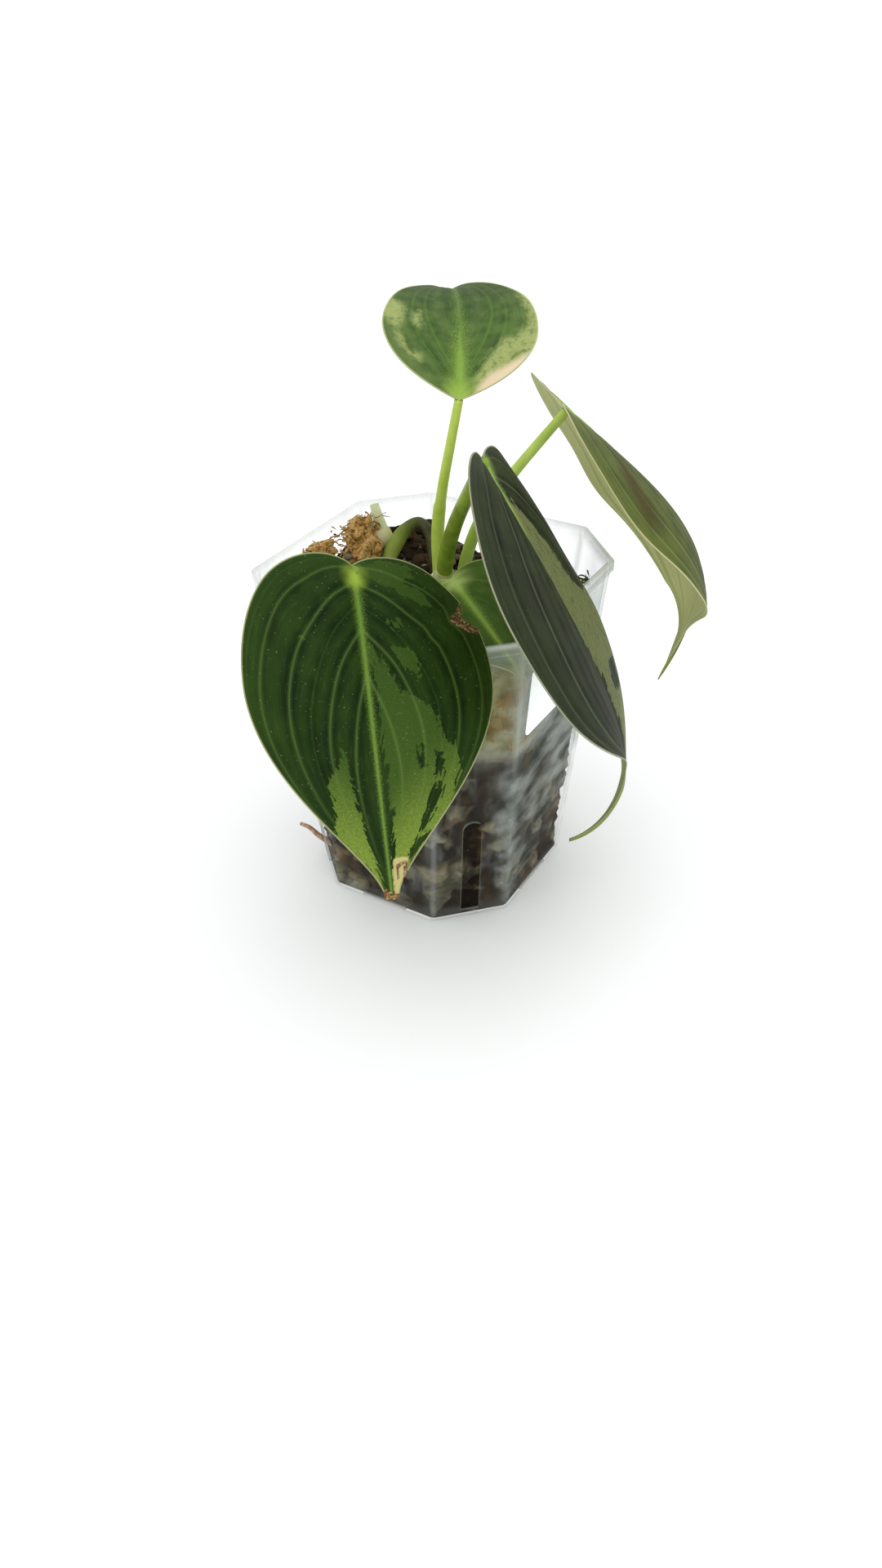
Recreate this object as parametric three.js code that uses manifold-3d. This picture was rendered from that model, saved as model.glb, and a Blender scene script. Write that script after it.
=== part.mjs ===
// A heart-leaved climbing aroid in a clear square nursery pot, in millimetres, +Z up.
// The origin is the centre of the pot's underside. +X looks out of the wall that carries the
// label, and -Y out of the wall that the big front leaf hangs over.
import * as THREE from 'three';
import { mergeVertices } from 'three/addons/utils/BufferGeometryUtils.js';
import Module from 'manifold-3d';

const wasm = await Module();
wasm.setup();

const clearance = 0.3;          // between pieces that touch

// Pot: a square with its corners cut off, drawn in towards the base. Half widths are across the
// flats, and cut is the leg of a cut corner. Each cut corner has a drain slot, and each long wall
// a drain notch under it.
const pot = {
  height: 115, baseHalf: 39.2, wallTopHalf: 49.1, cut: 19,
  wall: 1.0, floor: 1.2,
  lipHalf: 50, lipHeight: 3.5,
  slotWidth: 6.6, slotFoot: 3.5, slotTop: 45, slotStart: 6, slotPast: 2,
  notchWidth: 17, notchHeight: 2, notchDepth: 2,
};

// Potting mix: its top falls from the back left to the front right
const mix = {
  foot: 1.5, bands: [35, 65], level: 90, fallX: -0.26, riseY: 0.14, lumps: 1.1, sides: 40, rings: 9,
};

// Stem: a short upright stem that stands in the mix and carries every stalk
const stem = { foot: [-7, 16, 80], top: [-4.5, 13.5, 103.5], footRadius: 5.2, topRadius: 4.4 };

// Blades. at is the point where the stalk's end meets the upper face. heading, climb and bank turn
// the blade there. Angles are in degrees, and bends are what has built up at the end of the blade.
const bladeThickness = 0.7;
const ribDepth = 0.9;           // how far the midrib stands out below, at its start
const ribShare = 0.05;          // its half width, as a share of the half blade
const leaves = {
  front: {
    at: [9.8, -58.1, 138.5], heading: -139, climb: -32, bank: -13,
    length: 93.5, halfWidth: 34, leftWidth: 1.13, sinus: 4,
    lobe: 4, leftLobe: 1, widest: 0.3, taper: 0.06,
    tipHalf: 2, drip: 0, droop: [51.5, -3.5], swing: [5, 13.5], twist: 29,
    tipFrom: 0.85, tipDroop: 0, tipSwing: 0, tipTwist: 0,
    fold: [14, 6], foldChange: 0, arch: [-32.5, -31.5], wave: 0.4,
    bite: { side: -1, at: 0.305, width: 0.036, depth: 0.12 },
  },
  right: {
    at: [37.2, -32.6, 167.3], heading: -95, climb: -52, bank: -24,
    length: 107.5, halfWidth: 39.5, leftWidth: 1, sinus: 1.5,
    lobe: 4, leftLobe: 1, widest: 0.38, taper: 0.13,
    tipHalf: 1.7, drip: 35.5, droop: [3, 24], swing: [23.5, 14.5], twist: 10.5,
    tipFrom: 0.95, tipDroop: 52, tipSwing: -87.5, tipTwist: 0,
    fold: [15, 9.5], foldChange: 0, arch: [-38, -38], wave: 0.5,
  },
  upper_right: {
    at: [36.1, 22.3, 164.3], heading: -61.5, climb: -40.5, bank: -10.5,
    length: 110.5, halfWidth: 34, leftWidth: 1, sinus: 2.5,
    lobe: 3.8, leftLobe: 3.5, widest: 0.23, taper: 0.17,
    tipHalf: 3.1, drip: 18.5, droop: [-8, 71.5], swing: [24.5, 26.5], twist: -4.5,
    tipFrom: 0.8, tipDroop: -4.5, tipSwing: -48, tipTwist: 56.5,
    fold: [3.5, 3.5], foldChange: -37, arch: [-28.5, -28.5], wave: 0.6,
  },
  back: {
    at: [0.6, 16.6, 164.6], heading: 27.5, climb: 27.5, bank: 4,
    length: 75, halfWidth: 26.5, leftWidth: 1.02, sinus: 1,
    lobe: 1.5, leftLobe: 1, widest: 0.27, taper: 0.25,
    tipHalf: 1.5, drip: 12, droop: [26.5, 14], swing: [8, 2.5], twist: 0,
    tipFrom: 0.85, tipDroop: 0, tipSwing: 0, tipTwist: 0,
    fold: [41, 41], foldChange: -13.5, arch: [-27.5, -27.5], wave: 0.4,
  },
  low: {
    at: [3.6, 6.4, 107], heading: -125, climb: -7, bank: 20,
    length: 46, halfWidth: 20, leftWidth: 1, sinus: 1.5, lobe: 3, leftLobe: 1, widest: 0.32, taper: 0.2,
    tipHalf: 1.2, drip: 5, droop: [16, 4], swing: [0, 0], twist: 0,
    tipFrom: 0.85, tipDroop: 20, tipSwing: 0, tipTwist: 0,
    fold: [9, 9], foldChange: 0, arch: [-20, -20], wave: 0.3,
  },
};

// Stalks: each leaves the stem at its first point and ends under its blade
const stalks = {
  front: {
    radii: [2.5, 1.6],
    path: [[-7.5, 10, 97], [-6.8, 3.6, 105], [-2.6, -4, 112], [4, -20, 121], [8.5, -39, 129.5]],
  },
  right: {
    radii: [2.8, 1.7],
    path: [[-4, 12.6, 103], [-1.4, 11, 114], [6, 3.4, 128], [17.5, -9.5, 144]],
  },
  upper_right: {
    radii: [2.2, 1.4],
    path: [[0.5, 17, 101], [2, 18.5, 111], [7.5, 17.5, 125], [18, 16, 141]],
  },
  back: {
    radii: [2.1, 1.4],
    path: [[-9, 18.5, 101.5], [-8.5, 17.2, 116], [-5.2, 14.8, 133], [-1.5, 14.5, 150]],
  },
  low: { radii: [1.6, 1.4], path: [[0.5, 9.6, 102]] },
};

// Roots, a young shoot, and lumps of husk on the mix
const roots = {
  aerial_root: {
    radii: [2.3, 2.6],
    path: [[-10.5, 20, 98], [-15, 25, 103.5], [-20.6, 30.5, 110], [-25.5, 31.2, 112.6], [-30.4, 28, 109],
      [-30.6, 23, 102.5], [-28.5, 18.5, 93]],
  },
  pale_shoot: {
    radii: [2.8, 1.0],
    path: [[-33, 28.5, 96], [-36, 30, 105.5], [-39.5, 31.3, 111], [-42.4, 32.8, 114.8]],
  },
  slot_root: {
    radii: [1.2, 0.7],
    path: [[-27.5, -28.5, 8.5], [-32, -30.6, 12], [-37, -30.6, 14.5], [-41.5, -29.4, 13.5]],
  },
};
const husks = {
  husk_back: { at: [-38.5, 16, 105], size: [6.5, 11, 6], turn: 24, seed: 3 },
  husk_left: { at: [-41.5, -9.5, 105.5], size: [4.8, 7, 6], turn: -8, seed: 8 },
};

// Label: a blank sticker on the +X wall
const label = { width: 36, height: 25, thickness: 0.3, corner: 2.2, left: -23, foot: 76.5, off: 0.2 };

const surface = (color, roughness) => new THREE.MeshStandardMaterial({ color, roughness, metalness: 0 });
const finish = {
  clearPlastic: surface(0xdfe6e0, 0.12),
  mix: surface(0x3b2e1d, 0.95),
  husk: surface(0x8a6a3c, 0.9),
  paleStem: surface(0xc9cf8e, 0.6),
  stalk: surface(0x8fa84a, 0.45),
  blade: surface(0x2d441a, 0.55),
  youngBlade: surface(0x5a7a34, 0.5),
  root: surface(0x6a5a2c, 0.8),
  paper: surface(0xf5f7f6, 0.6),
};
finish.clearPlastic.transparent = true;
finish.clearPlastic.opacity = 0.35;

const rad = THREE.MathUtils.degToRad;
const lerp = THREE.MathUtils.lerp;
const vector = (point) => new THREE.Vector3(...point);

// Closed geometry from points and triangles: points closer than a micrometre become one, and
// triangles that shrink to a line are dropped
function closedGeometry(points, triangles) {
  const position = new Float32Array(points.flatMap((p) => [p.x, p.y, p.z]));
  const loose = new THREE.BufferGeometry();
  loose.setAttribute('position', new THREE.BufferAttribute(position, 3));
  loose.setIndex(triangles.flat());
  const merged = mergeVertices(loose, 0.001);
  const index = Array.from(merged.index.array);
  const kept = [];
  for (let i = 0; i < index.length; i += 3) {
    const [a, b, c] = index.slice(i, i + 3);
    if (a !== b && b !== c && c !== a) kept.push(a, b, c);
  }
  merged.setIndex(kept);
  merged.computeVertexNormals();
  return merged;
}

// Skin over a row of rings with the same number of points, closed by a flat fan at both ends
function loft(rings) {
  const points = rings.flat();
  const count = rings[0].length;
  const triangles = [];
  for (let i = 0; i + 1 < rings.length; i += 1) {
    for (let j = 0; j < count; j += 1) {
      const a = i * count + j;
      const b = i * count + ((j + 1) % count);
      triangles.push([a, b, b + count], [a, b + count, a + count]);
    }
  }
  const middle = (ring) => ring.reduce((sum, p) => sum.add(p), new THREE.Vector3()).divideScalar(count);
  const first = points.push(middle(rings[0])) - 1;
  const last = points.push(middle(rings.at(-1))) - 1;
  const lastRing = (rings.length - 1) * count;
  for (let j = 0; j < count; j += 1) {
    const next = (j + 1) % count;
    triangles.push([first, next, j], [last, lastRing + j, lastRing + next]);
  }
  return closedGeometry(points, triangles);
}

// Round bar along a smooth curve through the given points, with a radius for each part of it
function bar(path, radiusAt, sides = 10, steps = 16) {
  const curve = new THREE.CatmullRomCurve3(path.map(vector), false, 'centripetal');
  const { normals, binormals } = curve.computeFrenetFrames(steps, false);
  const rings = curve.getSpacedPoints(steps).map((centre, i) => {
    const radius = radiusAt(i / steps);
    return Array.from({ length: sides }, (_, j) => {
      const angle = (2 * Math.PI * j) / sides;
      return centre.clone()
        .addScaledVector(normals[i], radius * Math.cos(angle))
        .addScaledVector(binormals[i], radius * Math.sin(angle));
    });
  });
  return loft(rings);
}

// Between a geometry and a solid that can be cut or joined
function solidOf(geometry) {
  const plain = new THREE.BufferGeometry();
  plain.setAttribute('position', geometry.attributes.position.clone());
  if (geometry.index) plain.setIndex(geometry.index.clone());
  const merged = mergeVertices(plain, 0.001);
  return new wasm.Manifold(new wasm.Mesh({
    numProp: 3,
    vertProperties: new Float32Array(merged.attributes.position.array),
    triVerts: new Uint32Array(merged.index.array),
  }));
}

function geometryOf(solid) {
  const mesh = solid.getMesh();
  const geometry = new THREE.BufferGeometry();
  geometry.setAttribute('position', new THREE.BufferAttribute(new Float32Array(mesh.vertProperties), 3));
  geometry.setIndex(Array.from(mesh.triVerts));
  geometry.computeVertexNormals();
  return geometry;
}

// Eight corners of the pot's section: a square of the given half width with its corners cut
function potSection(half, cut, z) {
  const inner = half - cut;
  const corners = [[half, -inner], [half, inner], [inner, half], [-inner, half],
    [-half, inner], [-half, -inner], [-inner, -half], [inner, -half]];
  return corners.map(([x, y]) => new THREE.Vector3(x, y, z));
}

// Half width of the pot's outer wall at a height, and the cut that keeps a wall of even thickness
const wallHeight = pot.height - pot.lipHeight;
const outerHalf = (z) => lerp(pot.baseHalf, pot.wallTopHalf, z / wallHeight);
const cutInside = (inset) => pot.cut - inset * (2 - Math.SQRT2);

// Distance of a cut corner's outer face from the pot's axis at a height
const cornerReach = (z) => (2 * outerHalf(z) - pot.cut) / Math.SQRT2;

function makePot() {
  const innerRing = (z, half) => potSection(half, cutInside(pot.wall), z);
  const shell = solidOf(loft([
    potSection(pot.baseHalf, pot.cut, 0),
    potSection(pot.wallTopHalf, pot.cut, wallHeight),
    potSection(pot.lipHalf, pot.cut, wallHeight),
    potSection(pot.lipHalf, pot.cut, pot.height),
    innerRing(pot.height, pot.wallTopHalf - pot.wall),
    innerRing(wallHeight, pot.wallTopHalf - pot.wall),
    innerRing(pot.floor, outerHalf(pot.floor) - pot.wall),
  ]));
  let cutShell = shell;
  const slotCurve = pot.slotWidth / 2;
  const slotOutline = new THREE.Shape()
    .moveTo(-slotCurve, pot.slotFoot)
    .lineTo(slotCurve, pot.slotFoot)
    .lineTo(slotCurve, pot.slotTop - slotCurve)
    .absarc(0, pot.slotTop - slotCurve, slotCurve, 0, Math.PI, false);
  const slotReach = cornerReach(0) - pot.slotStart;
  const slotDepth = cornerReach(pot.slotTop) + pot.slotPast - slotReach;
  for (let corner = 0; corner < 4; corner += 1) {
    const options = { depth: slotDepth, bevelEnabled: false, curveSegments: 6 };
    const slot = new THREE.ExtrudeGeometry(slotOutline, options);
    slot.rotateX(Math.PI / 2);
    slot.rotateZ(Math.PI);
    slot.translate(0, slotReach, 0);
    slot.rotateZ(Math.PI / 4 + (corner * Math.PI) / 2);
    cutShell = cutShell.subtract(solidOf(slot));
  }
  for (let side = 0; side < 4; side += 1) {
    const notch = new THREE.BoxGeometry(pot.notchWidth, 2 * pot.notchDepth, 2 * pot.notchHeight);
    notch.translate(0, pot.baseHalf, 0);
    notch.rotateZ((side * Math.PI) / 2);
    cutShell = cutShell.subtract(solidOf(notch));
  }
  return geometryOf(cutShell);
}

// Height of the mix: a tilted plane with low lumps from three crossed waves
function mixTop(x, y) {
  const lumps = Math.sin(x / 6.1 + 0.8) * Math.cos(y / 7.3)
    + 0.7 * Math.sin((x + 1.7 * y) / 8.9 + 2.1)
    + 0.5 * Math.cos((1.3 * x - y) / 4.7);
  return mix.level + mix.fallX * x + mix.riseY * y + mix.lumps * lumps;
}

// Points round the inside of the pot, the same number for every height
function mixRing(z) {
  const inset = pot.wall + clearance;
  const corners = potSection(outerHalf(z) - inset, cutInside(inset), z);
  const perSide = mix.sides / corners.length;
  return corners.flatMap((corner, i) => {
    const next = corners[(i + 1) % corners.length];
    return Array.from({ length: perSide }, (_, step) => corner.clone().lerp(next, step / perSide));
  });
}

function makeMix(holes) {
  const edge = mixRing(mix.level).map((p, i) => mixRing(mixTop(p.x, p.y))[i]);
  const top = Array.from({ length: mix.rings }, (_, i) => {
    const scale = 1 - i / mix.rings;
    const onTop = (x, y) => new THREE.Vector3(x, y, mixTop(x, y));
    return edge.map((p) => (i === 0 ? p : onTop(p.x * scale, p.y * scale)));
  });
  const body = solidOf(loft([mixRing(mix.foot), ...mix.bands.map(mixRing), ...top]));
  return geometryOf(holes.reduce((solid, hole) => solid.subtract(hole), body));
}

// Half of a blade's outline, laid flat: from the sinus round the lobe and up to the tip.
// The point (x, y) is x to the side of the midrib and y along it from the stalk's end.
function margin(leaf, side, steps) {
  const w = leaf.halfWidth * (side < 0 ? leaf.leftWidth : 1);
  const lobe = leaf.lobe * (side < 0 ? leaf.leftLobe : 1);
  const { length, sinus, widest, taper, tipHalf, drip } = leaf;
  const outline = new THREE.Path()
    .moveTo(0, -sinus)
    .bezierCurveTo(0.22 * w, -sinus - 1.55 * lobe, w, -sinus - lobe, w, widest * length)
    .bezierCurveTo(w, (widest + 0.3) * length, taper * w, 0.84 * length, tipHalf, length);
  if (drip > 0) outline.quadraticCurveTo(tipHalf, length + drip / 2, 0, length + drip);
  else outline.lineTo(0, length + 0.5);
  return outline.getSpacedPoints(steps);
}

// Midrib: where it runs and how the blade is turned, every millimetre from the lobes to the tip
function midrib(leaf) {
  const start = Math.floor(-leaf.sinus - 1.6 * leaf.lobe * Math.max(1, leaf.leftLobe) - 2);
  const end = Math.ceil(leaf.length + leaf.drip + 1);
  const turn = new THREE.Matrix4()
    .makeRotationZ(rad(leaf.heading))
    .multiply(new THREE.Matrix4().makeRotationX(rad(leaf.climb)))
    .multiply(new THREE.Matrix4().makeRotationY(rad(leaf.bank)));
  const axesAt = (y) => {
    const u = Math.max(0, y / leaf.length);
    const tip = Math.max(0, (u - leaf.tipFrom) / ((leaf.length + leaf.drip) / leaf.length - leaf.tipFrom));
    const droop = leaf.droop[0] * u + leaf.droop[1] * u ** 2 + leaf.tipDroop * tip ** 1.3;
    const swing = leaf.swing[0] * u + leaf.swing[1] * u ** 2 + leaf.tipSwing * tip ** 1.3;
    const twist = leaf.twist * u + leaf.tipTwist * tip;
    const axes = turn.clone()
      .multiply(new THREE.Matrix4().makeRotationZ(rad(swing)))
      .multiply(new THREE.Matrix4().makeRotationX(rad(-droop)))
      .multiply(new THREE.Matrix4().makeRotationY(rad(twist)));
    const [side, along, up] = [new THREE.Vector3(), new THREE.Vector3(), new THREE.Vector3()];
    axes.extractBasis(side, along, up);
    return { side, along, up };
  };
  const stations = [];
  const place = new THREE.Vector3();
  for (let y = start; y <= end; y += 1) {
    const axes = axesAt(y);
    if (y > start) place.addScaledVector(axesAt(y - 0.5).along, 1);
    stations.push({ y, place: place.clone(), ...axes });
  }
  const shift = vector(leaf.at).sub(stations[-start].place);
  stations.forEach((station) => station.place.add(shift));
  return (y) => {
    const i = THREE.MathUtils.clamp(Math.floor(y - start), 0, stations.length - 2);
    const [a, b, t] = [stations[i], stations[i + 1], y - start - i];
    const between = (key) => a[key].clone().lerp(b[key], t);
    return { place: between('place'), side: between('side'), up: between('up') };
  };
}

// A point of a blade: each half leaves the midrib at the fold angle and bends evenly by the arch
// angle for each half width, so its slope at a distance is fold + arch * distance / halfWidth
function bladePoint(leaf, rib, x, y, off) {
  const half = x < 0 ? 1 : 0;
  const sign = x < 0 ? -1 : 1;
  const u = THREE.MathUtils.clamp(y / leaf.length, -0.2, 1.2);
  const share = Math.abs(x) / leaf.halfWidth;
  const fold = rad(leaf.fold[half] + leaf.foldChange * u);
  const arch = rad(leaf.arch[half]);
  const slope = fold + arch * share;
  const radius = leaf.halfWidth / arch;
  const out = radius * (Math.sin(slope) - Math.sin(fold));
  const rise = radius * (Math.cos(fold) - Math.cos(slope))
    + leaf.wave * share ** 2 * Math.sin(u * 15 + sign);
  const { place, side, up } = rib(y);
  if (share < 0.001) return place.addScaledVector(up, off / Math.cos(fold));
  return place
    .addScaledVector(side, sign * (out - off * Math.sin(slope)))
    .addScaledVector(up, rise + off * Math.cos(slope));
}

// Blade: side veins run straight from the midrib to the margin, and both faces share one grid
function makeBlade(leaf, across, along) {
  const rib = midrib(leaf);
  const reach = leaf.length + leaf.drip;
  const shares = Array.from({ length: across }, (_, i) => lerp(ribShare, 1, i / (across - 1)));
  shares.unshift(0);
  const points = [];
  const triangles = [];
  for (const side of [1, -1]) {
    const edge = margin(leaf, side, along);
    const start = points.length;
    const row = 2 * shares.length;
    edge.forEach((point, i) => {
      const q = i / along;
      const foot = lerp(-leaf.sinus, reach, q ** 2);
      const bite = leaf.bite && leaf.bite.side === side
        ? leaf.bite.depth * Math.max(0, 1 - Math.abs(q - leaf.bite.at) / leaf.bite.width) : 0;
      for (const share of shares) {
        const out = share * (1 - bite * share);
        const x = side * out * point.x;
        const y = lerp(foot, point.y, out);
        const keel = ribDepth * Math.max(0, 1 - share / ribShare) * (1 - 0.7 * q);
        points.push(bladePoint(leaf, rib, x, y, bladeThickness / 2));
        points.push(bladePoint(leaf, rib, x, y, -bladeThickness / 2 - keel));
      }
    });
    const quad = (a, b, c, d) => {
      if (side > 0) triangles.push([a, b, c], [a, c, d]);
      else triangles.push([a, c, b], [a, d, c]);
    };
    for (let i = 0; i < along; i += 1) {
      for (let j = 0; j + 1 < shares.length; j += 1) {
        const a = start + i * row + 2 * j;
        quad(a, a + 2, a + row + 2, a + row);
        quad(a + 1, a + row + 1, a + row + 3, a + 3);
      }
      const a = start + i * row + row - 2;
      quad(a, a + 1, a + row + 1, a + row);
    }
  }
  return closedGeometry(points, triangles);
}

// Stalk: from the stem to the underside of its blade, a little behind the sinus. The edge of its
// end comes to the clearance from the midrib, so a stalk that arrives flat ends lower.
function stalkPath(stalk, leaf) {
  const { place, side, up } = midrib(leaf)(0);
  const along = up.clone().cross(side);
  const seat = place.clone().addScaledVector(along, -leaf.sinus / 2);
  const arriving = seat.clone().sub(vector(stalk.path.at(-1))).normalize();
  const flat = Math.sqrt(1 - arriving.dot(up) ** 2);
  const under = bladeThickness / 2 + ribDepth + clearance + stalk.radii[1] * flat;
  return [...stalk.path, seat.addScaledVector(up, -under).toArray()];
}

// Lump of husk: a ball drawn out to its size, with its skin pushed in and out by crossed waves
function makeHusk(husk, grow = 0) {
  const rough = new THREE.IcosahedronGeometry(1, 2).deleteAttribute('normal').deleteAttribute('uv');
  const ball = mergeVertices(rough, 0.001);
  const position = ball.attributes.position;
  const p = new THREE.Vector3();
  for (let i = 0; i < position.count; i += 1) {
    p.fromBufferAttribute(position, i);
    const waves = Math.sin(5 * p.x + husk.seed) * Math.cos(4 * p.y + 2 * husk.seed)
      + Math.sin(6 * p.z + 3 * husk.seed) * Math.cos(5 * p.x - husk.seed);
    const scale = 1 + 0.13 * waves;
    const [a, b, c] = husk.size;
    position.setXYZ(i, p.x * (a * scale + grow), p.y * (b * scale + grow), p.z * (c * scale + grow));
  }
  ball.rotateZ(rad(husk.turn));
  ball.translate(...husk.at);
  ball.computeVertexNormals();
  return ball;
}

// Label: a rounded rectangle that leans with the wall
function makeLabel() {
  const { width, height, corner } = label;
  const outline = new THREE.Shape()
    .moveTo(corner, 0)
    .lineTo(width - corner, 0)
    .absarc(width - corner, corner, corner, -Math.PI / 2, 0, false)
    .lineTo(width, height - corner)
    .absarc(width - corner, height - corner, corner, 0, Math.PI / 2, false)
    .lineTo(corner, height)
    .absarc(corner, height - corner, corner, Math.PI / 2, Math.PI, false)
    .lineTo(0, corner)
    .absarc(corner, corner, corner, Math.PI, 1.5 * Math.PI, false);
  const options = { depth: label.thickness, bevelEnabled: false, curveSegments: 5 };
  const sheet = new THREE.ExtrudeGeometry(outline, options);
  const lean = Math.atan((pot.wallTopHalf - pot.baseHalf) / wallHeight);
  sheet.rotateX(Math.PI / 2);
  sheet.rotateZ(Math.PI / 2);
  sheet.rotateY(lean);
  sheet.translate(outerHalf(label.foot) + label.off, label.left, label.foot);
  return sheet;
}

const plant = new THREE.Group();
function add(name, geometry, material) {
  const mesh = new THREE.Mesh(geometry, material);
  mesh.name = name;
  plant.add(mesh);
}

const widen = (radii, by) => (t) => lerp(radii[0], radii[1], t) + by;
const stemBar = (by) => bar([stem.foot, stem.top], widen([stem.footRadius, stem.topRadius], by), 14, 4);
const stemHole = solidOf(stemBar(clearance));
const rootBar = (root, by) => bar(root.path, widen(root.radii, by), 10, 18);
const clearOfStem = (geometry) => geometryOf(solidOf(geometry).subtract(stemHole));

const holes = [
  stemHole,
  ...Object.values(roots).map((root) => solidOf(rootBar(root, clearance))),
  ...Object.values(husks).map((husk) => solidOf(makeHusk(husk, clearance))),
];

add('pot', makePot(), finish.clearPlastic);
add('potting_mix', makeMix(holes), finish.mix);
add('label', makeLabel(), finish.paper);
add('stem', stemBar(0), finish.paleStem);
for (const [name, leaf] of Object.entries(leaves)) {
  const stalk = stalks[name];
  const young = name === 'low' || name === 'back';
  const [across, along] = name === 'low' ? [5, 14] : [7, 20];
  add(`stalk_${name}`, clearOfStem(bar(stalkPath(stalk, leaf), widen(stalk.radii, 0))), finish.stalk);
  add(`leaf_${name}`, makeBlade(leaf, across, along), young ? finish.youngBlade : finish.blade);
}
for (const [name, root] of Object.entries(roots)) {
  add(name, clearOfStem(rootBar(root, 0)), name === 'pale_shoot' ? finish.paleStem : finish.root);
}
for (const [name, husk] of Object.entries(husks)) add(name, makeHusk(husk), finish.husk);

export default plant;
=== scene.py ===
import bmesh
import bpy
import numpy as np
from mathutils import Matrix


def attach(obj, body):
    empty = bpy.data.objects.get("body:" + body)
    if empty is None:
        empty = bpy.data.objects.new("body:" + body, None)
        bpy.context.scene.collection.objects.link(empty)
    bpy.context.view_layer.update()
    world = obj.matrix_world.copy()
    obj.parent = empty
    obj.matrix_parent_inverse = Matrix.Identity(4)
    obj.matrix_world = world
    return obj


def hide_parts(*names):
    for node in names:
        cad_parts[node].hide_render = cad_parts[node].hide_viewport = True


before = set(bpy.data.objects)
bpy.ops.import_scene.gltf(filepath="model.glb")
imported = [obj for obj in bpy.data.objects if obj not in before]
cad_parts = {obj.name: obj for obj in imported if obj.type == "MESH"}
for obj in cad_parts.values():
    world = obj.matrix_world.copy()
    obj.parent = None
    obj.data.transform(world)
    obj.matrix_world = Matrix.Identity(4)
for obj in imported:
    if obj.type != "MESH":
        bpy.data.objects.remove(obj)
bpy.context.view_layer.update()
mm = 0.001

# A young velvet-leaved philodendron in a clear square nursery pot. Shapes are worked out in
# millimetres in the model's own frame and are scaled to metres as each mesh is made.


def linear(hexText):
    # sRGB hex to linear light: c / 12.92 below 0.04045, else ((c + 0.055) / 1.055) ^ 2.4
    value = np.array([int(hexText[i:i + 2], 16) for i in (1, 3, 5)]) / 255
    value = np.where(value <= 0.04045, value / 12.92, ((value + 0.055) / 1.055) ** 2.4)
    return (*value.tolist(), 1.0)


def addNode(tree, kind, inputs, out=0, stops=(), **settings):
    # Adds one shader node and gives back one of its outputs. Settings are its properties; inputs are its
    # sockets by name or number, each given another node's output, a number, a vector or a hex colour;
    # stops are a colour ramp's positions, from 0 to 1, and colours.
    node = tree.nodes.new("ShaderNode" + kind)
    for name, value in settings.items():
        setattr(node, name, value)
    for key, value in inputs.items():
        if isinstance(value, bpy.types.NodeSocket):
            tree.links.new(value, node.inputs[key])
        else:
            node.inputs[key].default_value = linear(value) if isinstance(value, str) else value
    for _ in stops[2:]:
        node.color_ramp.elements.new(0.5)
    for i, (position, colour) in enumerate(stops):
        node.color_ramp.elements[i].position = position
        node.color_ramp.elements[i].color = linear(colour)
    return node.outputs[out]


def newMaterial(name, **surface):
    # A material with one Principled surface, whose fixed sockets are set here
    material = bpy.data.materials.new(name)
    material.use_nodes = True
    tree = material.node_tree
    shader = tree.nodes["Principled BSDF"]
    for key, value in surface.items():
        socket = shader.inputs[key.replace("_", " ")]
        socket.default_value = linear(value) if isinstance(value, str) else value
    return material, tree, shader


def speckledMaterial(name, size, tones, detail=3.0, lengthwise=None, **surface):
    # Noise with a grain of size millimetres runs through the tones, spread evenly over its middle.
    # Lengthwise stops, if given, colour a piece along its run, with 22% of the noise over them.
    material, tree, shader = newMaterial(name, **surface)
    place = addNode(tree, "TexCoord", {}, "Object")
    place = addNode(tree, "VectorMath", {0: place, "Scale": 1000.0}, operation="SCALE")
    noise = addNode(tree, "TexNoise", {"Vector": place, "Scale": 1 / size, "Detail": detail})
    spread = [(0.32 + 0.36 * i / (len(tones) - 1), tone) for i, tone in enumerate(tones)]
    colour = addNode(tree, "ValToRGB", {0: noise}, stops=spread)
    if lengthwise:
        run = addNode(tree, "Attribute", {}, 2, attribute_name="run")
        ramp = addNode(tree, "ValToRGB", {0: run}, stops=lengthwise)
        colour = addNode(tree, "Mix", {0: 0.22, 6: ramp, 7: colour}, 2, data_type="RGBA")
    tree.links.new(colour, shader.inputs["Base Color"])
    return material


def smoothNoise(points, size, seed):
    # Random values from -1 to 1 on a lattice with cells of the given size, blended by 3t^2 - 2t^3
    lattice = np.random.default_rng(seed).uniform(-1, 1, (32, 32, 32))
    scaled = np.asarray(points) / size
    cell = np.floor(scaled).astype(int)
    part = scaled - cell
    part = part * part * (3 - 2 * part)
    total = np.zeros(len(scaled))
    for corner in np.ndindex(2, 2, 2):
        weight = np.prod(np.where(corner, part, 1 - part), axis=1)
        i, j, k = ((cell + corner) % 32).T
        total += weight * lattice[i, j, k]
    return total


def layeredNoise(points, size, seed, layers=3):
    # A sum of layers, each half the size and half the height of the one before
    return sum(smoothNoise(points, size / 2 ** i, seed + i) / 2 ** i for i in range(layers))


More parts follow.
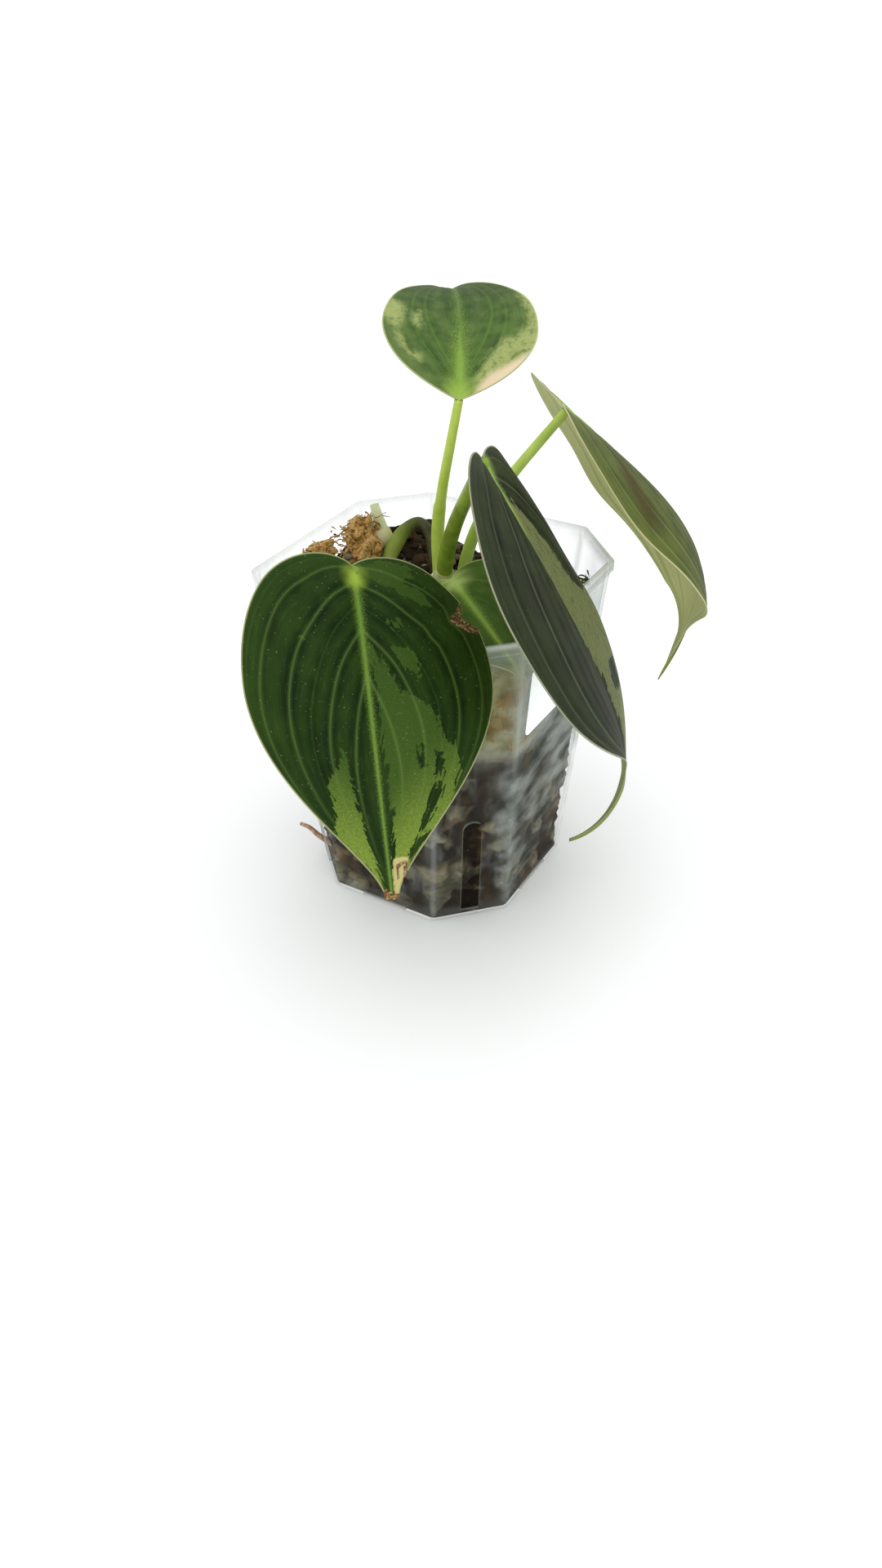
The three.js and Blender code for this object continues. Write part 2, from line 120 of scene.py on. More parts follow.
def makePiece(name, points, faces, material, node=None, attributes=None, merge=0.0):
    # Points in millimetres and faces by number become one mesh; points closer than merge are joined
    mesh = bpy.data.meshes.new(name)
    mesh.from_pydata(np.asarray(points) * mm, [], faces if isinstance(faces, list) else faces.tolist())
    for key, values in (attributes or {}).items():
        values = np.asarray(values, dtype=np.float32)
        kind, field = ("FLOAT_VECTOR", "vector") if values.ndim == 2 else ("FLOAT", "value")
        mesh.attributes.new(key, kind, "POINT").data.foreach_set(field, values.ravel())
    if merge:
        work = bmesh.new()
        work.from_mesh(mesh)
        bmesh.ops.remove_doubles(work, verts=work.verts, dist=merge * mm)
        bmesh.ops.dissolve_degenerate(work, edges=work.edges, dist=1e-7)
        work.to_mesh(mesh)
        work.free()
    mesh.polygons.foreach_set("use_smooth", np.ones(len(mesh.polygons), dtype=bool))
    mesh.materials.append(material)
    piece = bpy.data.objects.new(name, mesh)
    bpy.context.scene.collection.objects.link(piece)
    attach(piece, "root")
    if node:
        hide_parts(node)
    return piece


def gridFaces(rows, columns, closed=False, start=0, flip=False):
    # Quads over a grid of points stored row by row; closed joins the last column to the first
    i = np.arange(rows - 1)[:, None]
    j = np.arange(columns if closed else columns - 1)[None, :]
    right = (j + 1) % columns
    corners = (i * columns + j, i * columns + right, (i + 1) * columns + right, (i + 1) * columns + j)
    quads = np.stack(corners, -1).reshape(-1, 4) + start
    return quads[:, ::-1] if flip else quads


def cappedFaces(rows, columns):
    # A closed grid with a fan at each end, to two points stored after it: first, then last
    first, last = rows * columns, rows * columns + 1
    fans = [[first, (j + 1) % columns, j] for j in range(columns)]
    fans += [[last, first - columns + j, first - columns + (j + 1) % columns] for j in range(columns)]
    return gridFaces(rows, columns, True).tolist() + fans


def copiedFaces(faces, number, each):
    # The faces of one shape repeated over copies whose points, each to a copy, follow one another
    return (faces[None] + np.arange(number)[:, None, None] * each).reshape(-1, 4)


def curveThrough(path, count):
    # Centripetal Catmull-Rom curve through the path, with count points at even distances along it
    path = np.array(path, float)
    ends = [2 * path[0] - path[1], 2 * path[-1] - path[-2]]
    points = np.vstack([ends[0], path, ends[1]])
    step = np.maximum(np.linalg.norm(np.diff(points, axis=0), axis=1) ** 0.5, 1e-4)
    t = np.linspace(0, 1, 40)[:, None]
    line = []
    for i in range(len(path) - 1):
        p0, p1, p2, p3 = points[i:i + 4]
        d0, d1, d2 = step[i:i + 3]
        m1 = ((p1 - p0) / d0 - (p2 - p0) / (d0 + d1) + (p2 - p1) / d1) * d1
        m2 = ((p2 - p1) / d1 - (p3 - p1) / (d1 + d2) + (p3 - p2) / d2) * d1
        line.append((2 * t ** 3 - 3 * t ** 2 + 1) * p1 + (t ** 3 - 2 * t ** 2 + t) * m1
                    + (3 * t ** 2 - 2 * t ** 3) * p2 + (t ** 3 - t ** 2) * m2)
    line = np.vstack(line)
    run = np.concatenate([[0], np.cumsum(np.linalg.norm(np.diff(line, axis=0), axis=1))])
    even = np.linspace(0, run[-1], count)
    return np.stack([np.interp(even, run, line[:, i]) for i in range(3)], -1)


def tube(path, radius, sides=24, count=60):
    # A circle of radius(run, angle) carried along the path, closed at both ends; angle 0 is on top
    centre = curveThrough(path, count)
    along = np.gradient(centre, axis=0)
    along /= np.linalg.norm(along, axis=1)[:, None]
    across = np.cross(along, (0.0, 0.0, 1.0))
    across /= np.linalg.norm(across, axis=1)[:, None]
    top = np.cross(across, along)
    turns = np.arange(sides) * 2 * np.pi / sides
    run, angle = np.meshgrid(np.linspace(0, 1, count), turns, indexing="ij")
    aim = np.cos(angle)[..., None] * top[:, None] - np.sin(angle)[..., None] * across[:, None]
    ring = centre[:, None] + radius(run, angle)[..., None] * aim
    points = np.vstack([ring.reshape(-1, 3), centre[0], centre[-1]])
    return points, cappedFaces(count, sides), np.concatenate([run.ravel(), [0, 1]])


def smoothStep(value, low, high):
    # 0 at low, 1 at high, 3t^2 - 2t^3 between
    t = np.clip((value - low) / (high - low), 0, 1)
    return t * t * (3 - 2 * t)


# Blades. at is where the stalk meets the upper face; heading, climb and bank turn the blade there,
# in degrees. Bends are what has built up at the end, and halves marked by two values are right, left.
plainShape = {"leftWidth": 1, "leftLobe": 1, "drip": 0, "twist": 0, "foldChange": 0,
              "tipFrom": 0.85, "tipDroop": 0, "tipSwing": 0, "tipTwist": 0}
bladeShapes = {
    "front": {
        "at": (9.8, -58.1, 138.5), "heading": -139, "climb": -32, "bank": -13,
        "length": 93.5, "halfWidth": 34, "leftWidth": 1.13, "sinus": 4, "lobe": 4,
        "widest": 0.3, "taper": 0.06, "tipHalf": 2,
        "droop": (51.5, -3.5), "swing": (5, 13.5), "twist": 29,
        "fold": (14, 6), "arch": (-32.5, -31.5), "wave": 0.4,
        "bite": {"side": -1, "at": 0.305, "width": 0.036, "depth": 0.12},
    },
    "right": {
        "at": (37.2, -32.6, 167.3), "heading": -95, "climb": -52, "bank": -24,
        "length": 107.5, "halfWidth": 39.5, "sinus": 1.5, "lobe": 4,
        "widest": 0.38, "taper": 0.13, "tipHalf": 1.7, "drip": 35.5,
        "droop": (3, 24), "swing": (23.5, 14.5), "twist": 10.5,
        "tipFrom": 0.95, "tipDroop": 52, "tipSwing": -87.5,
        "fold": (15, 9.5), "arch": (-38, -38), "wave": 0.5,
    },
    "upper_right": {
        "at": (36.1, 22.3, 164.3), "heading": -61.5, "climb": -40.5, "bank": -10.5,
        "length": 110.5, "halfWidth": 34, "sinus": 2.5, "lobe": 3.8, "leftLobe": 3.5,
        "widest": 0.23, "taper": 0.17, "tipHalf": 3.1, "drip": 18.5,
        "droop": (-8, 71.5), "swing": (24.5, 26.5), "twist": -4.5,
        "tipFrom": 0.8, "tipDroop": -4.5, "tipSwing": -48, "tipTwist": 56.5,
        "fold": (3.5, 3.5), "foldChange": -37, "arch": (-28.5, -28.5), "wave": 0.6,
    },
    "back": {
        "at": (0.6, 16.6, 164.6), "heading": 27.5, "climb": 27.5, "bank": 4,
        "length": 75, "halfWidth": 26.5, "leftWidth": 1.02, "sinus": 1, "lobe": 1.5,
        "widest": 0.27, "taper": 0.25, "tipHalf": 1.5, "drip": 12,
        "droop": (26.5, 14), "swing": (8, 2.5),
        "fold": (41, 41), "foldChange": -13.5, "arch": (-27.5, -27.5), "wave": 0.4,
    },
    "low": {
        "at": (3.6, 6.4, 107), "heading": -125, "climb": -7, "bank": 20,
        "length": 46, "halfWidth": 20, "sinus": 1.5, "lobe": 3,
        "widest": 0.32, "taper": 0.2, "tipHalf": 1.2, "drip": 5,
        "droop": (16, 4), "swing": (0, 0), "tipDroop": 20,
        "fold": (9, 9), "arch": (-20, -20), "wave": 0.3,
    },
}
bladeShapes = {name: {**plainShape, **shape} for name, shape in bladeShapes.items()}


def bezier(points, t):
    # Points weighed by (1-t)^2, 2t(1-t) and t^2, or by the four cubic terms if there are four
    t = t[:, None]
    if len(points) == 3:
        weights = ((1 - t) ** 2, 2 * t * (1 - t), t ** 2)
    else:
        weights = ((1 - t) ** 3, 3 * t * (1 - t) ** 2, 3 * t ** 2 * (1 - t), t ** 3)
    return sum(weight * np.array(point, float) for weight, point in zip(weights, points))


def outlineOf(shape, side, share):
    # Half of the outline laid flat, from the sinus round the lobe to the tip, at shares of its run
    w = shape["halfWidth"] * (shape["leftWidth"] if side < 0 else 1)
    lobe = shape["lobe"] * (shape["leftLobe"] if side < 0 else 1)
    length, sinus, widest = shape["length"], shape["sinus"], shape["widest"] * shape["length"]
    tip = (shape["tipHalf"], length)
    t = np.linspace(0, 1, 200)
    pieces = [
        bezier([(0, -sinus), (0.22 * w, -sinus - 1.55 * lobe), (w, -sinus - lobe), (w, widest)], t),
        bezier([(w, widest), (w, widest + 0.3 * length), (shape["taper"] * w, 0.84 * length), tip], t),
    ]
    if shape["drip"] > 0:
        middle = (shape["tipHalf"], length + shape["drip"] / 2)
        pieces.append(bezier([tip, middle, (0, length + shape["drip"])], t))
    else:
        pieces.append(np.array([tip, (0, length + 0.5)], float))
    line = np.vstack(pieces)
    run = np.concatenate([[0], np.cumsum(np.linalg.norm(np.diff(line, axis=0), axis=1))])
    return [np.interp(share * run[-1], run, line[:, i]) for i in (0, 1)]


def turn(axis, degrees):
    # Rotation matrices about one axis: cosines on the diagonal and sines off it
    angle = np.radians(np.asarray(degrees, float))
    matrix = np.zeros(angle.shape + (3, 3))
    a, b = [(1, 2), (2, 0), (0, 1)][axis]
    matrix[..., axis, axis] = 1
    matrix[..., a, a] = matrix[..., b, b] = np.cos(angle)
    matrix[..., a, b] = -np.sin(angle)
    matrix[..., b, a] = np.sin(angle)
    return matrix


def midribOf(shape):
    # Where the midrib runs and how the blade is turned on it, at every millimetre. Droop and swing grow by
    # one value times the share of the way and another times its square; the tip adds its own past tipFrom.
    start = int(np.floor(-shape["sinus"] - 1.6 * shape["lobe"] * max(1, shape["leftLobe"]) - 2))
    end = int(np.ceil(shape["length"] + shape["drip"] + 1))
    reach = (shape["length"] + shape["drip"]) / shape["length"]
    base = turn(2, shape["heading"]) @ turn(0, shape["climb"]) @ turn(1, shape["bank"])

    def axesAt(y):
        # The blade's across, forward and up directions, as columns, y along the midrib
        u = np.maximum(0, y / shape["length"])
        tip = np.maximum(0, (u - shape["tipFrom"]) / (reach - shape["tipFrom"]))
        droop = shape["droop"][0] * u + shape["droop"][1] * u ** 2 + shape["tipDroop"] * tip ** 1.3
        swing = shape["swing"][0] * u + shape["swing"][1] * u ** 2 + shape["tipSwing"] * tip ** 1.3
        twist = shape["twist"] * u + shape["tipTwist"] * tip
        return base @ turn(2, swing) @ turn(0, -droop) @ turn(1, twist)

    y = np.arange(start, end + 1.0)
    place = np.vstack([np.zeros(3), np.cumsum(axesAt(y[1:] - 0.5)[:, :, 1], axis=0)])
    place += np.array(shape["at"]) - place[-start]
    return y, place, axesAt(y)


def onBlade(shape, rib, x, y, off):
    # The point off above the flat point (x, y): each half bends by the arch angle for each half width
    stations, place, axes = rib

    def along(values):
        # Values kept at every millimetre, drawn out evenly between
        return np.stack([np.interp(y, stations, values[:, i]) for i in range(3)], -1)

    side = np.where(x < 0, -1.0, 1.0)
    half = (x < 0).astype(int)
    u = np.clip(y / shape["length"], -0.2, 1.2)
    share = np.abs(x) / shape["halfWidth"]
    fold = np.radians(np.array(shape["fold"])[half] + shape["foldChange"] * u)
    arch = np.radians(np.array(shape["arch"])[half])
    slope = fold + arch * share
    radius = shape["halfWidth"] / arch
    out = radius * (np.sin(slope) - np.sin(fold)) - off * np.sin(slope) * (share > 0.001)
    rise = radius * (np.cos(fold) - np.cos(slope)) + off * np.cos(slope)
    rise = rise + shape["wave"] * share ** 2 * np.sin(15 * u + side)
    middle = along(place) + (side * out)[..., None] * along(axes[:, :, 0])
    return middle + rise[..., None] * along(axes[:, :, 2])


def flatPoint(shape, side, c, q, slanted=True):
    # Flat x, y for the share c of the way across and q along the margin. Lines of one c are the veins:
    # they leave the midrib at a slant one after another, run beside the margin and meet at the tip.
    k = 1 - (1 - c) ** (0.58 + 1.45 * q ** 1.4)
    edgeX, edgeY = outlineOf(shape, side, q)
    bite = shape.get("bite")
    if bite and bite["side"] == side:
        deep = bite["depth"] * np.maximum(0, 1 - np.abs(q - bite["at"]) / bite["width"])
        k = k * (1 - deep * k ** 3)
    reach = shape["length"] + (shape["drip"] or 0.5)
    leave = -shape["sinus"] * k ** 2 + 0.5 * shape["length"] * (1 - k) ** 3.2
    full = (edgeY + shape["sinus"]) / (reach + shape["sinus"])
    gone = full + (q ** 1.2 - full) * (1 - k ** 0.7) * (1 - q ** 4)
    x, y = k * edgeX, leave + (reach - leave) * gone
    rise = np.sin(np.pi * np.clip((y + shape["sinus"]) / (reach + shape["sinus"]), 0, 1) ** 0.45)
    out = x / shape["halfWidth"]
    slant = 0.025 * np.exp(-((out - 0.42) / 0.16) ** 2) - 0.065 * np.exp(-out / 0.12)
    return side * x, y + slanted * slant * shape["length"] * rise * (1 - k ** 4)


def gapTo(line, x, y):
    # Distance in millimetres to the nearest stretch of an open line
    a, b = line[None, :-1], line[None, 1:]
    p = np.stack([x.ravel(), y.ravel()], -1)[:, None]
    run = b - a
    t = np.clip(((p - a) * run).sum(-1) / np.maximum((run ** 2).sum(-1), 1e-9), 0, 1)
    return np.linalg.norm(p - a - t[..., None] * run, axis=-1).min(1).reshape(x.shape)


def insideBy(outline, x, y):
    # Distance in millimetres to a closed outline, above 0 inside it and below 0 outside. A point is inside
    # if the outline is crossed an odd number of times on the way out of it.
    line = np.vstack([outline, outline[:1]])
    (startX, startY), (endX, endY) = line[:-1].T, line[1:].T
    level = np.where(endY == startY, 1e-9, endY - startY)
    crossed = (startY > y[..., None]) != (endY > y[..., None])
    ahead = x[..., None] < (endX - startX) * (y[..., None] - startY) / level + startX
    gap = gapTo(line, x, y)
    return np.where((crossed & ahead).sum(-1) % 2 == 1, gap, -gap)


def markOutline(shape, side, kind, marks):
    # A mark's outline is given by its corners, as (c, q) or, where kind ends in Flat, in millimetres
    marks = np.array(marks + marks[:1], float)
    if kind.endswith("Flat"):
        return marks[:-1]
    t = np.linspace(0, len(marks) - 1, 6 * (len(marks) - 1), endpoint=False)
    c, q = [np.interp(t, np.arange(len(marks)), marks[:, i]) for i in (0, 1)]
    return np.stack(flatPoint(shape, side, np.clip(c, 0, 1), np.clip(q, 0, 1), False), -1)


# Relief of every blade. Heights are off the middle of its sheet and widths along it, in millimetres.
relief = {
    "edge": 0.13, "dip": 0.1, "quilt": 0.17, "quiltWidth": 1.5, "edgeThick": 0.27, "bodyThick": 0.25,
    "bodyFrom": 2.2, "keel": 0.9, "keelShare": 0.05, "longDrip": 20, "dripLift": 0.3, "dripThick": 0.6,
}
# Columns: how far apart they are, as a share of the way across, and the close ones along the margin
columnStep = 0.021
marginColumns = (0.963, 0.974, 0.983, 0.99, 0.995, 0.998, 0.9995, 1)


def makeBlade(name, material, look):
    # Both faces share one grid of veins and rows. The upper face dips inside its margin, by a smooth step,
    # and rises between veins by 1 - exp(-(gap / width)^2); the lower one has a straight-sided keel.
    shape = bladeShapes[name]
    length, halfWidth = shape["length"], shape["halfWidth"]
    rib = midribOf(shape)
    stops = [0] + [at for at, _ in look["veins"]]
    bands = [(a, b, max(3, round((b - a) / columnStep))) for a, b in zip(stops, stops[1:])]
    bands.append((stops[-1], marginColumns[0], max(2, round((marginColumns[0] - stops[-1]) / columnStep))))
    columns = [np.linspace(a, b, number, endpoint=False) for a, b, number in bands]
    columns = np.concatenate(columns + [marginColumns])
    c, q = np.meshgrid(columns, np.linspace(0, 1, 90 if name == "low" else 150))
    points, faces, kept = [], [], {}
    for side in (1, -1):
        x, y = flatPoint(shape, side, c, q)
        veinGap = np.full(x.shape, 99.0)
        for at, strength in look["veins"]:
            line = np.stack(flatPoint(shape, side, np.full(150, at), np.linspace(0, 1, 150)), -1)
            veinGap = np.minimum(veinGap, gapTo(line, x, y) + 0.9 * (1 - strength))
        edge = np.stack(flatPoint(shape, side, np.ones(300), np.linspace(0, 1, 300)), -1)
        edgeGap, ribGap = gapTo(edge, x, y), np.abs(x)
        marks = {key: np.full(x.shape, -99.0) for key in ("pale", "cream", "brown")}
        for kind, half, corners in look["marks"]:
            if half == side:
                depth = insideBy(markOutline(shape, side, kind, corners), x, y)
                if kind.startswith("dark"):
                    marks["pale"] = np.minimum(marks["pale"], -depth)
                else:
                    key = kind.removesuffix("Flat")
                    marks[key] = np.maximum(marks[key], depth)
        body = smoothStep(edgeGap, 0, relief["bodyFrom"])
        quilt = (1 - np.exp(-(veinGap / relief["quiltWidth"]) ** 2)) * smoothStep(ribGap, 0.5, 2.5)
        top = relief["edge"] + body * (relief["quilt"] * quilt - relief["dip"])
        height, begins, full = look["ridge"]
        ridge = height * np.exp(-(x / 6) ** 2) * smoothStep(y, begins, full)
        top = top + ridge * smoothStep(y, full + 40, full + 10)
        drip = smoothStep(y / length, 1.0, 1.08) * (shape["drip"] > relief["longDrip"])
        top = top + relief["dripLift"] * drip
        thick = relief["edgeThick"] + relief["bodyThick"] * body + relief["dripThick"] * drip
        keel = relief["keel"] * np.maximum(0, 1 - ribGap / (relief["keelShare"] * halfWidth)) * (1 - 0.7 * q)
        for under, off in ((0, top), (1, top - thick - keel)):
            start = sum(len(part) for part in points)
            points.append(onBlade(shape, rib, x, y, off).reshape(-1, 3))
            faces.append(gridFaces(*x.shape, start=start, flip=(under == 1) == (side > 0)))
            fields = {
                "veinGap": veinGap, "ribGap": ribGap, "edgeGap": edgeGap, **marks, "share": q,
                "fromJoint": np.hypot(x, y), "along": np.clip(y / length, 0, 2),
                "under": np.full(x.shape, under),
                "flat": np.stack([x, y, np.full(x.shape, 40 * under)], -1),
                "grain": np.stack([c * halfWidth * side, q * length * 1.2, 0 * c], -1),
            }
            for key, values in fields.items():
                kept.setdefault(key, []).append(values.reshape(x.size, -1).squeeze())
        last = start - x.size + np.arange(len(x)) * x.shape[1] + x.shape[1] - 1
        strip = np.stack([last[:-1], last[1:], last[1:] + x.size, last[:-1] + x.size], -1)
        faces.append(strip if side > 0 else strip[:, ::-1])
    attributes = {key: np.concatenate(parts) for key, parts in kept.items()}
    makePiece(f"leaf_{name}_skin", np.vstack(points), np.vstack(faces), material, f"leaf_{name}",
              attributes, merge=0.002)


# What each blade shows. Veins are (share of the way across, strength). Marks are outlines on the
# right (1) or left (-1) half: by corners (c, q), or in millimetres where the kind ends in Flat.
# Sizes and reaches are in millimetres. Ridge is a height on the midrib, and where it starts and is full.
plainLook = {"cloud": 9.0, "dimNear": 0.0, "mottle": 0.3, "soft": 0.12, "creamSoft": 0.3, "dry": 0.0,
             "dots": 0.12, "ridge": (0, 0, 1), "sheen": 0.0, "ribEnd": 2.0,
             "brown": "#4b3a1c", "tan": "#4b3a1c", "brownSoft": (-0.2, 0.2)}
bladeLooks = {
    "front": {
        "dark": "#102406", "deep": "#1d350a", "haze": "#3f5b20", "vein": "#688540", "rib": "#7b9c40",
        "glow": "#a6c246", "pale": "#4b6825", "paleTip": "#9bb548", "margin": "#a9ae7c", "under": "#8d9a62",
        "cream": "#cfc283", "dry": 0.89, "brown": "#5a3a24", "tan": "#ac7e4e", "brownSoft": (-0.25, 0.15),
        "veinShow": 0.5, "ribWide": 1.9, "glowReach": 5.4, "dimNear": 0.5, "dots": 0.3,
        "veins": [(0.155, 1.0), (0.335, 1.0), (0.468, 0.45), (0.628, 1.0), (0.855, 0.9), (0.963, 0.4)],
        "marks": [
            ("pale", 1, [
                (.26, .49), (.29, .54), (.33, .58), (.40, .62), (.45, .65), (.47, .69), (.56, .75),
                (.80, .79), (1, .80), (1, .98), (.71, .96), (.34, .92), (.23, .81), (.21, .72),
                (.20, .64), (.20, .58), (.22, .54), (.23, .50)]),
            ("pale", -1, [
                (.36, .02), (.35, .08), (.31, .15), (.29, .23), (.29, .32), (.36, .41), (.40, .44),
                (.44, .49), (.46, .54), (.51, .57), (.59, .59), (.67, .63), (.75, .67), (.76, .70),
                (1, .75), (1, 1), (.10, .98), (.10, .91), (.07, .72), (.07, .55), (.07, .42), (.08, .28),
                (.14, .19), (.22, .11)]),
            ("dark", -1, [
                (.48, .68), (.58, .69), (.64, .73), (.60, .76), (.62, .82), (.46, .80), (.44, .75),
                (.44, .70)]),
            ("dark", -1, [(.47, .82), (1, .82), (1, .90), (.44, .88)]),
            ("pale", -1, [
                (.91, .01), (.98, .07), (.98, .12), (.97, .14), (.92, .16), (.80, .16), (.83, .20),
                (.80, .23), (.78, .25), (.72, .23), (.71, .17), (.72, .08)]),
            ("paleFlat", -1, [
                (-7.8, 21), (-10.7, 21.4), (-13.6, 23.6), (-16, 29.2), (-14, 30.4), (-10.6, 28.4),
                (-8.4, 24.4)]),
            ("paleFlat", -1, [(-7.2, 13.8), (-10.8, 13.6), (-11.8, 17), (-9, 16.6)]),
            ("darkFlat", -1, [(-16.4, 51), (-19, 51.6), (-18, 58.4), (-15.4, 57.6)]),
            ("darkFlat", -1, [(-11.4, 49.6), (-13.6, 50.4), (-13.6, 55.6), (-11.8, 55.6)]),
            ("paleFlat", 1, [(16.9, 17.8), (17.5, 17.8), (17.5, 18.6), (16.9, 18.6)]),
            ("creamFlat", -1, [(-1.6, 80.5), (-6, 80.5), (-5, 84), (-4, 95), (-1, 95), (-1, 86)]),
            ("brownFlat", -1, [
                (-2.2, 82.4), (-5.2, 81.6), (-5.2, 82.4), (-2.8, 83.4), (-2.6, 87), (-2, 87.4)]),
            ("brownFlat", -1, [(-4.4, 82), (-5.4, 82), (-4.6, 88), (-3.4, 88.4), (-3.9, 86)]),
            ("brownFlat", -1, [(1, 92), (-4, 91.6), (-4, 97), (1, 97)]),
            ("brownFlat", 1, [(-1, 91.6), (1.6, 89.8), (3, 91), (3, 97), (-1, 97)]),
            ("brownFlat", -1, [
                (-31.8, 6), (-30, 9.6), (-27.2, 11.8), (-27, 13.2), (-29.6, 15), (-33, 16.4), (-36, 16.8),
                (-38, 12), (-36, 5)]),
        ],
    },
    "right": {
        "dark": "#0e1307", "deep": "#202812", "haze": "#475134", "vein": "#78875f", "rib": "#9dbc62",
        "glow": "#9bbd58", "pale": "#828955", "paleTip": "#9ea66c", "mottle": 0.8,
        "drip": "#a5ac5e", "margin": "#a7ab90", "under": "#8f9664",
        "cream": "#b7bd84", "brown": "#2a3a20", "tan": "#2a3a20", "brownSoft": (-4, 3), "sheen": 0.01,
        "veinShow": 0.46, "ribEnd": 0.26, "ribWide": 1.9, "glowReach": 6,
        "veins": [(0.158, 0.4), (0.34, 0.5), (0.465, 0.3), (0.625, 1.0), (0.855, 0.8), (0.963, 0.4)],
        "marks": [
            ("paleFlat", -1, [
                (.5, 9), (-2.4, 11), (-4, 14.8), (-5.2, 17.6), (-7.6, 22.6), (-9.4, 28.5), (-10.6, 34),
                (-12.6, 39.5), (-15, 45), (-21, 50), (-45, 55), (-45, 118), (0, 150), (0, 110), (-3, 97),
                (-2.6, 89), (-2, 81), (-1.6, 72), (-.6, 64), (.5, 58)]),
            ("darkFlat", -1, [(-11, 71), (-19, 76), (-15, 86), (-8, 81), (-7, 75)]),
        ],
    },
    # Its light tones are partly the blade's own colour and partly painted light shining through it from
    # behind; its underside tone is raised as painted light where the underside lies in shade.
    "upper_right": {
        "drip": "#7f8a3c", "low": "#333a12",
        "dark": "#434e1a", "deep": "#576324", "haze": "#717c38", "vein": "#98a35a", "rib": "#84963f",
        "glow": "#a9cf52", "pale": "#8a8f4e", "paleTip": "#8f8a50", "margin": "#dcd6a3", "under": "#c8cb8f",
        "cream": "#c9c49a", "brown": "#45390f", "tan": "#4f4415", "brownSoft": (-6, 3),
        "veinShow": 0.55, "ribEnd": 0.4, "ribWide": 2.4, "glowReach": 11,
        "veins": [(0.158, 0.3), (0.34, 0.6), (0.465, 0.4), (0.625, 1.0), (0.855, 0.9), (0.963, 0.4)],
        "marks": [("brownFlat", 1, [(10, 18), (15, 23), (18, 28), (22, 34), (26, 30), (22, 24), (18, 19)])],
    },
    # Its light greens are partly the blade's own colour and partly painted light shining through it from
    # behind.
    "back": {
        "dark": "#3f5c26", "deep": "#587736", "haze": "#75894f", "vein": "#8fae58", "rib": "#a6c95e",
        "low": "#2a3422", "cloud": 5.0, "soft": 2.2, "creamSoft": 2.0, "mottle": 0.9,
        "glow": "#aecd5c", "pale": "#bfc77c", "paleTip": "#d2d78c", "margin": "#c3c98e", "under": "#9aa86a",
        "cream": "#efd9b4", "veinShow": 0.2, "ribWide": 5.4, "glowReach": 8.5, "ridge": (4.7, 14, 36),
        "veins": [(0.2, 0.2), (0.46, 1.0), (0.64, 0.9), (0.84, 0.5)],
        "marks": [
            ("paleFlat", -1, [
                (-22, 36), (-20, 32), (-20, 27), (-22, 20), (-24, 20), (-25, 23), (-27, 25), (-27, 30),
                (-24, 36)]),
            ("paleFlat", -1, [(-17, 30), (-14, 32), (-14, 28), (-15, 23), (-17, 25)]),
            ("paleFlat", -1, [(-23, 17), (-21, 14), (-19, 9), (-15, 9), (-15, 7), (-19, 7.4), (-22, 12)]),
            ("paleFlat", 1, [
                (20.5, 45), (21.5, 39), (22.5, 32), (23.6, 29), (23.6, 22), (22, 20), (19.5, 16.5),
                (16.5, 18.5), (14.5, 15.5), (12, 14), (9.6, 10.5), (7.4, 6.5), (5.5, 4.5), (5.5, -6),
                (32, -6), (34, 45)]),
            ("darkFlat", 1, [(19, 10), (20.5, 9.6), (20, 7.4), (18.6, 7.8)]),
            ("creamFlat", 1, [
                (7, 0), (11, 4), (15, 4.6), (19, 6), (24, 8.6), (30, 9), (26, -2), (16, -5), (8, -5)]),
        ],
    },
    "low": {
        "dark": "#3c561c", "deep": "#496526", "haze": "#5b7635", "vein": "#7d9a47", "rib": "#94b24c",
        "glow": "#b9cf78", "pale": "#86a654", "paleTip": "#86a654", "margin": "#b2c184", "under": "#8a9a5c",
        "cream": "#b2c184", "veinShow": 0.3, "ribWide": 2.6, "glowReach": 9,
        "veins": [(0.3, 0.7), (0.6, 1.0), (0.86, 0.6)], "marks": [],
    },
}


